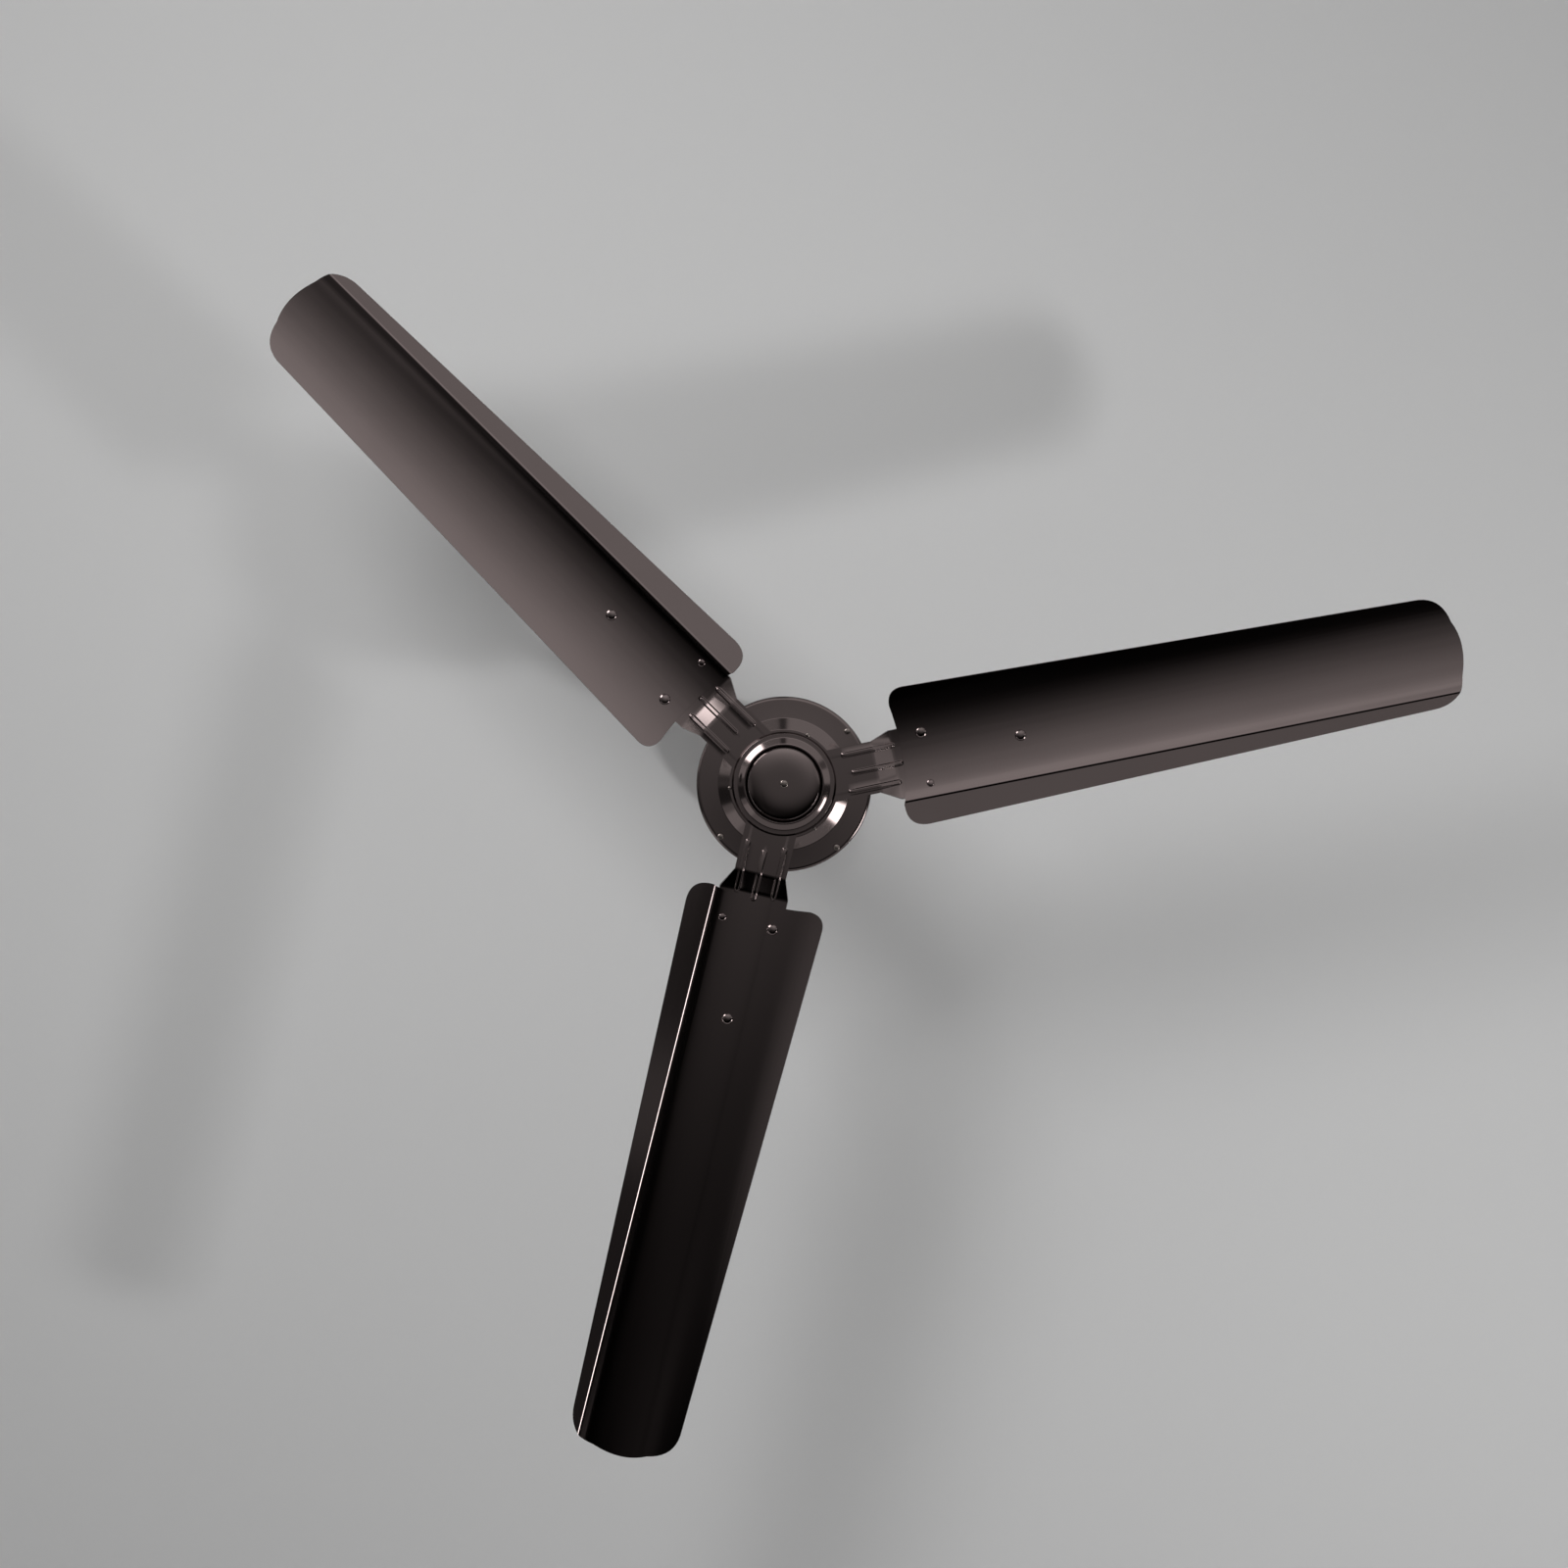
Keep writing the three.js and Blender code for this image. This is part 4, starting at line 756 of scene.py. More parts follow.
class Maker:
    """Puts finished pieces into the fan."""

    def __init__(self, finishes: Finishes) -> None:
        """Keeps the finishes."""
        self.finishes = finishes

    def fit(self, piece: bpy.types.Object, body: Body, coat: Coat, node: str) -> bpy.types.Object:
        """Paints a piece, hangs it on its body and lets it stand for its CAD node.

        Args:
            piece: The finished object.
            body: The body that it rides on.
            coat: The slot that it takes its finish from.
            node: The CAD node that it replaces.

        Returns:
            The piece.
        """
        piece.data.materials.clear()
        piece.data.materials.append(self.finishes.materials[coat])
        if not piece.modifiers:
            crisp = piece.modifiers.new("crisp", "WEIGHTED_NORMAL")
            crisp.keep_sharp = True
        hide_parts(node)
        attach(piece, body.value)
        LOG.info("%s: %d faces on %s", piece.name, len(piece.data.polygons), body.value)
        return piece

    def screw(self, node: str, sizes: ScrewSizes, turned: float = 0.0) -> None:
        """Fits a dark screw to the rotor at its CAD node, head down.

        Args:
            node: The CAD node that it replaces.
            sizes: The screw's sizes.
            turned: Turn of its recess in degrees.
        """
        low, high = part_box(node)
        middle = (low + high) / 2
        form = cross_screw(sizes).move(turn("Z", turned), shift(middle.x, middle.y, high.z - sizes.length))
        self.fit(form.piece(f"{node}_head"), Body.ROTOR, Coat.SCREW, node)

    def bolt(self, sizes: HexSizes, nodes: Sequence[str], names: Sequence[str]) -> None:
        """Fits a bolt along X and its nut at their CAD nodes.

        Args:
            sizes: The bolt's sizes.
            nodes: The CAD nodes of bolt and nut.
            names: The pieces' names.
        """
        low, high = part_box(nodes[0])
        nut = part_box(nodes[1])[0].x
        bolt = threaded(sizes, low.x + sizes.head / 2, nut - sizes.lead, high.x).join(hexagon(sizes, low.x))
        for form, node, name in zip((bolt, hexagon(sizes, nut, sizes.radius + GAP / 2)), nodes, names):
            form.move(ALONG_X, shift(z=(low.z + high.z) / 2))
            self.fit(form.piece(name), Body.SUSPENSION, Coat.ZINC, node)


def hide(thing: bpy.types.Object, *rays: str) -> None:
    """Keeps an object of the room out of some kinds of ray."""
    for ray in rays:
        setattr(thing, f"visible_{ray}", False)


def thicken(piece: bpy.types.Object, wall: float, edge: float, sharpest: float = 60.0) -> None:
    """Gives a sheet its wall away from its facing side, and rounds its edges.

    Args:
        piece: The sheet, facing outwards.
        wall: Its thickness.
        edge: Width of the round.
        sharpest: Turn in degrees from which an edge is rounded.
    """
    solidify = piece.modifiers.new("wall", "SOLIDIFY")
    solidify.thickness = wall
    solidify.offset = -1
    solidify.use_even_offset = True
    rounding = piece.modifiers.new("edge", "BEVEL")
    rounding.width = edge
    rounding.segments = 2
    rounding.limit_method = "ANGLE"
    rounding.angle_limit = math.radians(sharpest)
    rounding.harden_normals = True


@dataclass(frozen=True)
class Sheet:
    """The surface that blade and bracket share: a camber, a crease and a flange."""

    camber_radius: float = 0.142
    crest_side: float = -0.002
    root_run: float = 0.1025
    tip_run: float = 0.600
    crease_root: float = 0.0368
    crease_tip: float = 0.0408
    crease_half: float = 0.0016
    crease_knots: tuple[Point, ...] = ((0.30, 0.25), (0.75, 0.53))
    crease_cuts: tuple[float, ...] = (-1.0, -0.8, -0.6, -0.4, -0.1, 0.2, 0.5, 0.75, 1.0)
    crease_roll: float = 0.0008
    crease_reach: float = 0.036
    roll_power: int = 8
    flange_angle: float = 38.0
    crest_top: float = 0.0

    def fall(self, side: float) -> float:
        """Drop of the camber below its crest, which quickens towards the crease."""
        away = side - self.crest_side
        roll = self.crease_roll * (max(away, 0.0) / self.crease_reach) ** self.roll_power
        return away ** 2 / (2 * self.camber_radius) + roll

    def slope(self, side: float) -> float:
        """Rise of the sheet for each metre to the side."""
        away = side - self.crest_side
        steepest = self.roll_power * self.crease_roll / self.crease_reach
        roll = steepest * (max(away, 0.0) / self.crease_reach) ** (self.roll_power - 1)
        return -away / self.camber_radius - roll

    def tilt(self, side: float) -> float:
        """Turn of the sheet about its length at a side, in degrees."""
        return math.degrees(math.atan(self.slope(side)))

    def crease(self, run: float) -> float:
        """Side of the crease at a radius."""
        share = (run - self.root_run) / (self.tip_run - self.root_run)
        return self.crease_root + (self.crease_tip - self.crease_root) * share

    def height(self, run: float, side: float) -> float:
        """Height of the sheet's top face, or of any face held parallel to it."""
        crease = self.crease(run)
        offset = side - crease
        if offset <= -self.crease_half:
            return self.crest_top - self.fall(side)
        near = crease - self.crease_half
        start = self.crest_top - self.fall(near)
        slope = self.slope(near)
        rise = math.tan(math.radians(self.flange_angle))
        across = min((offset + self.crease_half) / (2 * self.crease_half), 1.0)
        bend = 0.0
        knots = [(0.0, slope), *self.crease_knots, (1.0, rise)]
        for (first, steep), (last, next_steep) in zip(knots, knots[1:]):
            part = min(across, last) - first
            if part > 0:
                bend += part * (steep + (next_steep - steep) * part / (last - first) / 2)
        return start + 2 * self.crease_half * bend + rise * max(offset - self.crease_half, 0.0)


@dataclass
class Blade:
    """One blade: cambered sheet with its trailing edge folded up, tapering to a round tip."""

    maker: Maker
    sheet: Sheet
    thickness: float = 0.0012
    root_cw: float = 0.1025
    root_ccw: float = 0.0985
    root_bow: float = 0.005
    root_corner: float = 0.014
    flange_corner: float = 0.020
    tip_corner: float = 0.024
    tip_bow: float = 0.011
    root_cw_edge: float = 0.0615
    root_ccw_edge: float = 0.0596
    tip_cw_edge: float = 0.0451
    tip_ccw_edge: float = 0.0508
    camber_cuts: int = 26
    edge_round: float = 0.00035

    def outline(self) -> list[Point]:
        """The blade's edge seen from above."""
        tip = self.sheet.tip_run
        base = tip - self.tip_bow
        half = base + self.tip_bow / 2
        rc, rw = self.root_ccw_edge, -self.root_cw_edge
        tc, tw = self.tip_ccw_edge, -self.tip_cw_edge
        corner, end, fold = self.root_corner, self.tip_corner, self.flange_corner
        middle = (self.root_ccw + self.root_cw) / 2 + 2 * self.root_bow
        points = [
            *curve((base - end, tw), (base, tw), (half, tw + end)),
            *curve((half, tw + end), (tip + self.tip_bow / 2, 0), (half, tc - end), 16),
            *curve((half, tc - end), (base, tc), (base - end, tc)),
            *curve((self.root_ccw + fold, rc), (self.root_ccw, rc), (self.root_ccw, rc - fold)),
            *curve((self.root_ccw, rc - fold), (middle, 0), (self.root_cw, rw + corner), 14),
            *curve((self.root_cw, rw + corner), (self.root_cw, rw), (self.root_cw + corner, rw)),
        ]
        return [p for i, p in enumerate(points) if p != points[i - 1]]

    def build(self, number: int, angle: float) -> bpy.types.Object:
        """Makes the blade at its angle."""
        form = Form().flat(self.outline())
        sheet = self.sheet
        low = -self.root_cw_edge
        high = sheet.crease_root - sheet.crease_half
        for i in range(1, self.camber_cuts + 1):
            form.cut((0, low + (high - low) * i / (self.camber_cuts + 1), 0), (0, 1, 0))
        along = Vector((sheet.tip_run - sheet.root_run, sheet.crease_tip - sheet.crease_root, 0))
        across = Vector((-along.y, along.x, 0)).normalized()
        for share in sheet.crease_cuts:
            form.cut((sheet.root_run, sheet.crease_root + share * sheet.crease_half, 0), across)
        form.lift(lambda run, side: sheet.height(run, side) - self.thickness)
        form.move(turn("Z", angle))
        piece = form.piece(f"blade_sheet_{number}", sharp=60.0)
        thicken(piece, self.thickness, self.edge_round)
        return self.maker.fit(piece, Body.ROTOR, Coat.BLADE, f"blade_{number}")


@dataclass
class Bracket:
    """One blade bracket: flat strap, three pressed ribs, a joggle and a flared tongue over the blade."""

    maker: Maker
    sheet: Sheet
    flat_under: float
    thickness: float = 0.0025
    root: float = 0.021
    cw_edge: float = 0.021
    ccw_edge: float = 0.0243
    flare_cw: float = 0.027
    flare_ccw: float = 0.033
    joggle_start: float = 0.081
    joggle_end: float = 0.098
    joggle_round: float = 0.0016
    bend_cuts: tuple[float, ...] = (-1, -0.6, -0.2, 0.2, 0.6, 1, 2, 3)
    joggle_cuts: int = 14
    cut_pitch: float = 0.002
    tongue_cuts: tuple[float, ...] = (0.118, 0.16, 0.19)
    camber_cuts: int = 12
    flare_end: float = 0.136
    tongue_end: float = 0.222
    tongue_half: float = 0.0125
    rib_half: float = 0.0025
    rib_depth: float = 0.0014
    rib_wall: float = 0.5
    rib_end_run: float = 0.0040
    rib_cuts: tuple[float, ...] = (1.0, 0.92, 0.83, 0.75, 0.67, 0.58, 0.5, 0.25)
    rib_sides: tuple[float, ...] = (-0.014, 0.0026, 0.0184)
    rib_starts: tuple[float, ...] = (0.053, 0.059, 0.053)
    rib_ends: tuple[float, ...] = (0.101, 0.1055, 0.101)
    edge_round: float = 0.0006

    def outline(self) -> list[Point]:
        """The bracket's edge seen from above."""
        tip = (self.tongue_end - self.tongue_half, 0.0)
        return [
            (self.root, -self.cw_edge), (self.joggle_start, -self.cw_edge), (self.joggle_end, -self.flare_cw),
            (self.flare_end, -self.flare_cw), *arc(tip, self.tongue_half, -90, 90, 16),
            (self.flare_end, self.flare_ccw), (self.joggle_end, self.flare_ccw),
            (self.joggle_start, self.ccw_edge), (self.root, self.ccw_edge),
        ]

    def joggle(self, run: float) -> float:
        """Share of the joggle's rise at a radius, with a soft bend at each end."""
        length = self.joggle_end - self.joggle_start

        def ramp(x: float) -> float:
            """Rounded corner of a line that starts to rise at zero."""
            half = self.joggle_round
            if x <= -half:
                return 0.0
            return x if x >= half else (x + half) ** 2 / (4 * half)

        return (ramp(run - self.joggle_start) - ramp(run - self.joggle_end)) / length

    def rib(self, run: float, side: float) -> float:
        """Share of the ribs' depth at a place."""
        deepest = 0.0
        for place, start, end in zip(self.rib_sides, self.rib_starts, self.rib_ends):
            across = abs(side - place) / self.rib_half
            inward = max(start + self.rib_half - run, 0) / self.rib_half
            outward = max(run - end + self.rib_end_run, 0) / self.rib_end_run
            away = math.hypot(across, max(inward, outward))
            if away < 1:
                wall = min((1 - away) / self.rib_wall, 1.0)
                deepest = max(deepest, wall * wall * (3 - 2 * wall))
        return deepest

    def under(self, run: float, side: float) -> float:
        """Height of the bracket's lower face."""
        rest = self.sheet.crest_top + GAP
        share = self.joggle(run)
        straight = self.flat_under + share * (rest - self.flat_under)
        return straight - share * self.sheet.fall(side) - self.rib_depth * self.rib(run, side)

    def build(self, number: int, angle: float) -> None:
        """Makes the bracket at its angle."""
        form = Form().flat(self.outline())
        wide = max(self.flare_cw, self.flare_ccw)
        sides = {-wide + 2 * wide * i / self.camber_cuts for i in range(1, self.camber_cuts)}
        for place in self.rib_sides:
            sides |= {place + self.rib_half * share * way for share in self.rib_cuts for way in (-1, 1)}
        for side in sorted(sides):
            form.cut((0, side, 0), (0, 1, 0))
        runs = {self.flare_end, *self.tongue_cuts}
        runs |= {self.joggle_start + self.cut_pitch * i for i in range(-1, self.joggle_cuts)}
        for bend in (self.joggle_start, self.joggle_end):
            runs |= {bend + self.joggle_round * share for share in self.bend_cuts}
        for start, end in zip(self.rib_starts, self.rib_ends):
            runs |= {start + self.rib_half * (1 - share) for share in self.rib_cuts}
            runs |= {end - self.rib_end_run * (1 - share) for share in self.rib_cuts}
        for run in sorted(runs):
            form.cut((run, 0, 0), (1, 0, 0))
        form.lift(self.under)
        form.move(turn("Z", angle))
        piece = form.piece(f"bracket_strap_{number}", sharp=60.0)
        thicken(piece, self.thickness, self.edge_round)
        self.maker.fit(piece, Body.ROTOR, Coat.PAINT, f"bracket_{number}")


@dataclass
class Rivets:
    """The three rivets of each blade: high domes below, upset tails above.

    Large and small hold a shank's radius, a head's radius and a head's height. The tail's points are shares of the
    head's radius and height.
    """

    maker: Maker
    sheet: Sheet
    large: Place = (0.0024, 0.0049, 0.0026)
    small: Place = (0.0017, 0.0033, 0.0014)
    dome_power: float = 0.9
    dome_steps: int = 12
    steps: int = 36
    tail: tuple[Point, ...] = ((0.92, 0.0), (0.9, 0.3), (0.7, 0.55), (0.0, 0.62))
    places: dict[str, Point] = field(default_factory=lambda: {
        "a": (0.1252, -0.0197), "b": (0.2095, 0.0), "c": (0.1245, 0.0248)})

    def profile(self, shank: float, head: float, height: float) -> list[Point]:
        """Section of a rivet from its dome's crown to the middle of its tail."""
        grip = Blade.thickness + Bracket.thickness + 2 * GAP
        crown = [(head * math.sin(a), -GAP / 2 - height * math.cos(a) ** self.dome_power)
                 for a in spread(0, 90, self.dome_steps)[:-1]]
        tail = [(head * across, grip + height * up) for across, up in self.tail]
        return [*crown, (head, -GAP / 2), (shank, 0), (shank, grip), *tail]

    def build(self, number: int, angle: float) -> None:
        """Makes the three rivets of a blade."""
        for letter, (run, side) in self.places.items():
            seat = self.sheet.height(run, side) - Blade.thickness
            sizes = self.small if letter == "c" else self.large
            form = Form().revolve(self.profile(*sizes), self.steps)
            form.move(turn("X", self.sheet.tilt(side)), shift(run, side, seat), turn("Z", angle))
            node = f"rivet_{number}{letter}"
            self.maker.fit(form.piece(f"{node}_dome"), Body.ROTOR, Coat.PAINT, node)


@dataclass
class Hub:
    """The trim ring with its conical flank, the domed cap, and the screws of the hub."""

    maker: Maker
    wall: float = 0.0012
    crest_height: float = 0.0037
    crest_radius: float = 0.0342
    crest_round: float = 0.0006
    flank_foot: float = 0.0403
    flank_steps: int = 24
    flank_ease: float = 0.15
    flank_swell: float = 0.25
    swell_shift: float = 0.72
    swell_power: int = 6
    shoulder: float = 0.0003
    rim_radius: float = 0.0452
    rim_taper: float = 0.0016
    lip: float = 0.027
    cap_radius: float = 0.0334
    cap_wall: float = 0.0016
    cap_edge: float = 0.0003
    cap_taper: float = 0.0029
    cap_dome: float = 0.0025
    cap_power: float = 4.8
    cap_steps: int = 24
    cap_edge_drop: float = 0.62
    cap_inside: float = 0.6
    steps: int = 128
    cap_screw: ScrewSizes = ScrewSizes(0.0016, 0.010, 0.0034, 0.0019, 0.0018)
    trim_screw: ScrewSizes = ScrewSizes(0.0009, 0.004, 0.0016, 0.0011, 0.0009)
    bracket_screw: ScrewSizes = ScrewSizes(0.0025, 0.0093, 0.0042, 0.0027, 0.0024)
    cap_screw_turn: float = 24.0
    trim_screw_turn: float = 40.0

    def steepness(self, share: float) -> float:
        """Steepness of the flank at a share of its way inwards, in no unit."""
        swell = math.sin(math.pi * share ** self.swell_shift) ** self.swell_power
        return math.sin(math.pi * share) ** self.flank_ease + self.flank_swell * swell

    def ring(self) -> None:
        """Makes the trim ring."""
        low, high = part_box("trim_ring")
        top = high.z
        radius = self.rim_radius - self.rim_taper
        plate = low.z + self.crest_height
        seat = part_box("hub_cap")[1].z + GAP
        bend = (radius - self.shoulder, plate + self.shoulder)
        line = [(self.rim_radius, top), *arc(bend, self.shoulder, -28, -90, 4)]
        slopes = [self.steepness((i + 0.5) / self.flank_steps) for i in range(self.flank_steps)]
        for i in range(self.flank_steps + 1):
            share = sum(slopes[:i]) / sum(slopes)
            across = self.flank_foot + (self.crest_radius - self.flank_foot) * i / self.flank_steps
            line.append((across, plate + (low.z - plate) * share))
        curl = (self.crest_radius, low.z + self.crest_round)
        line += [*arc(curl, self.crest_round, 252, 180, 4), (self.crest_radius - self.crest_round, seat),
                 (self.lip, seat), (self.lip, seat + self.wall), (radius - self.wall, plate + self.wall),
                 (radius - self.wall, top)]
        form = Form().revolve(line, self.steps, ring=True)
        self.maker.fit(form.piece("hub_trim_ring", sharp=40.0), Body.ROTOR, Coat.PAINT, "trim_ring")

    def cap(self) -> None:
        """Makes the cap and the screw in its middle."""
        low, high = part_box("hub_cap")
        radius, top, tip = self.cap_radius, high.z, low.z
        edge = tip + self.cap_dome + self.cap_edge * self.cap_edge_drop
        bend = (radius - self.cap_taper - self.cap_edge, edge)
        line = [(radius, top), *arc(bend, self.cap_edge, -20, -68, 5)]
        flat, brow = line[-1]
        for i in range(self.cap_steps - 1, -1, -1):
            share = i / self.cap_steps
            line.append((flat * share, tip + (brow - tip) * share ** self.cap_power))
        wall = self.cap_wall
        line += [(0.0, tip + wall), (radius * self.cap_inside, tip + wall * 2), (radius - wall, top)]
        form = Form().revolve(line, self.steps, ring=True)
        self.maker.fit(form.piece("hub_cap_dome", sharp=50.0), Body.ROTOR, Coat.PAINT, "hub_cap")
        self.maker.screw("hub_cap_screw", self.cap_screw, self.cap_screw_turn)

    def screws(self) -> None:
        """Makes the small screws beside the trim ring and the hidden ones that hold the brackets."""
        for number in range(1, 4):
            self.maker.screw(f"trim_screw_{number}", self.trim_screw, self.trim_screw_turn * number)
        for node in (f"bracket_screw_{number}{letter}" for number in range(1, 4) for letter in "ab"):
            self.maker.screw(node, self.bracket_screw)

    def build(self) -> None:
        """Makes the whole hub."""
        self.ring()
        self.cap()
        self.screws()


@dataclass
class Bearing:
    """A deep-groove ball bearing between the still shaft and a motor cover."""

    maker: Maker
    chamfer: float = 0.0005
    bore: float = 0.0075
    inner_face: float = 0.0102
    pitch: float = 0.0125
    outer_face: float = 0.0148
    outside: float = 0.0175
    groove: float = 0.003
    ball: float = 0.0029
    balls: int = 8
    cage_half: float = 0.0011
    cage_wall: float = 0.0005
    cage_height: float = 0.0031
    steps: int = 72

    def race(self, low: float, high: float, back: float, face: float) -> Form:
        """One ring with its groove.

        Args:
            low: Height of its lower side.
            high: Height of its upper side.
            back: Radius of its plain wall.
            face: Radius of its grooved wall.

        Returns:
            The ring.
        """
        middle = (low + high) / 2
        half = math.degrees(math.acos(abs(self.pitch - face) / self.groove))
        start, end = (180 + half, 180 - half) if face < self.pitch else (-half, half)
        edge = self.chamfer if back < face else -self.chamfer
        line = [(back + edge, low), (face - edge, low), (face, low + self.chamfer),
                *arc((self.pitch, middle), self.groove, start, end, 10),
                (face, high - self.chamfer), (face - edge, high), (back + edge, high),
                (back, high - self.chamfer), (back, low + self.chamfer)]
        return Form().revolve(line, self.steps, ring=True)

    def cage(self, middle: float) -> Form:
        """The balls and the two-part cage that spaces them."""
        form = Form()
        inner, outer = self.pitch - self.cage_half, self.pitch + self.cage_half
        for side in (-1, 1):
            near = middle + side * (self.cage_height - self.cage_wall)
            far = middle + side * self.cage_height
            band = [(inner, near), (outer, near), (outer, far), (inner, far)]
            form.join(Form().revolve(band, self.steps, ring=True))
        for i in range(self.balls):
            place = turn("Z", 360 * i / self.balls) @ shift(self.pitch, 0, middle)
            bmesh.ops.create_icosphere(form.mesh, subdivisions=4, radius=self.ball, matrix=place)
            post = Form().bar(self.cage_wall, middle - self.cage_height, middle + self.cage_height)
            form.join(post.move(shift(self.pitch), turn("Z", 360 * (i + 0.5) / self.balls)))
        return form

    def build(self, end: str) -> None:
        """Makes the bearing at one end of the motor."""
        low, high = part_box(f"{end}_bearing_outer_ring")
        inner = self.race(low.z, high.z, self.bore, self.inner_face)
        outer = self.race(low.z, high.z, self.outside, self.outer_face)
        rings = {"inner_ring": (inner, Body.SUSPENSION), "outer_ring": (outer, Body.ROTOR),
                 "ball_set": (self.cage((low.z + high.z) / 2), Body.ROTOR)}
        for name, (form, body) in rings.items():
            node = f"{end}_bearing_{name}"
            self.maker.fit(form.piece(f"{node}_race"), body, Coat.ZINC, node)


@dataclass
class Windings:
    """The still core with its coils, and the steel ring that turns round it."""

    maker: Maker
    teeth: int = 12
    bore: float = 0.0093
    reach: float = 0.0582
    slot_floor: float = 0.0402
    slot_half: float = 0.003
    tooth_gap: float = 0.00001
    coil_inside: float = 0.041
    coil_outside: float = 0.0525
    coil_gap: float = 0.0002
    coil_round: float = 0.004
    ring_inside: float = 0.059
    ring_outside: float = 0.069
    ring_step: float = 0.0015
    ring_facets: int = 144

    def edge(self, run: float, half: float) -> float:
        """Side of a plane that lies a distance off the middle of the next slot."""
        corner = math.pi / self.teeth
        return run * math.tan(corner) - half / math.cos(corner)

    def core(self) -> None:
        """Makes the stack of sheets with its teeth."""
        low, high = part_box("stator_core")
        form = Form()
        floor = self.slot_floor
        heel = self.bore / math.cos(math.pi / self.teeth)
        side = [(heel, self.edge(heel, self.tooth_gap)), (floor, self.edge(floor, self.tooth_gap)),
                (floor, self.edge(floor, self.slot_half))]
        tip = math.degrees(math.asin(self.edge(self.reach, self.slot_half) / self.reach))
        mirrored = [(run, -across) for run, across in side]
        outline = [*mirrored, *arc((0, 0), self.reach, -tip, tip, 8), *reversed(side)]
        for i in range(self.teeth):
            tooth = Form().flat(outline).move(shift(z=low.z)).extrude(high.z - low.z)
            form.join(tooth.move(turn("Z", 360 * i / self.teeth)))
        self.maker.fit(form.piece("stator_teeth"), Body.SUSPENSION, Coat.LAMINATED, "stator_core")

    def coil(self, run: float, across: float, half: float) -> list[Place]:
        """One loop round a tooth at a radius, with rounded corners."""
        y, z = across - self.coil_round, half - self.coil_round
        centres = ((y, z), (-y, z), (-y, -z), (y, -z))
        return [(run, *point) for i, centre in enumerate(centres)
                for point in arc(centre, self.coil_round, 90 * i, 90 * i + 90, 5)]

    def coils(self) -> None:
        """Makes one coil round each tooth."""
        low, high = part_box("stator_winding")
        core_low, core_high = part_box("stator_core")
        inner, outer = (core_high.z - core_low.z) / 2 + self.coil_gap, (high.z - low.z) / 2
        near, far = self.coil_inside, self.coil_outside
        at_tooth, at_slot = self.slot_half - self.coil_gap, self.coil_gap
        sections = ((near, at_tooth, inner), (far, at_tooth, inner), (far, at_slot, outer), (near, at_slot, outer))
        loops = [self.coil(run, self.edge(run, half), height) for run, half, height in sections]
        form = Form()
        for i in range(self.teeth):
            wound = Form().loft(loops, ring=True).move(shift(z=(low.z + high.z) / 2))
            form.join(wound.move(turn("Z", 360 * i / self.teeth)))
        self.maker.fit(form.piece("stator_coils", sharp=50.0), Body.SUSPENSION, Coat.COPPER, "stator_winding")

    def ring(self) -> None:
        """Makes the turning ring: stacked sheets between two cast end rings."""
        low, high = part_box("rotor_ring")
        step, inner, outer = self.ring_step, self.ring_inside, self.ring_outside
        line = [(inner, low.z + 2 * step), (inner + step, low.z + step), (inner + step, low.z), (outer - step, low.z),
                (outer, low.z + step), (outer, high.z - step), (outer - step, high.z), (inner + step, high.z),
                (inner + step, high.z - step), (inner, high.z - 2 * step)]
        form = Form().revolve(line, self.ring_facets, ring=True)
        self.maker.fit(form.piece("rotor_steel_ring"), Body.ROTOR, Coat.LAMINATED, "rotor_ring")

    def build(self) -> None:
        """Makes core, coils and ring."""
        self.core()
        self.coils()
        self.ring()


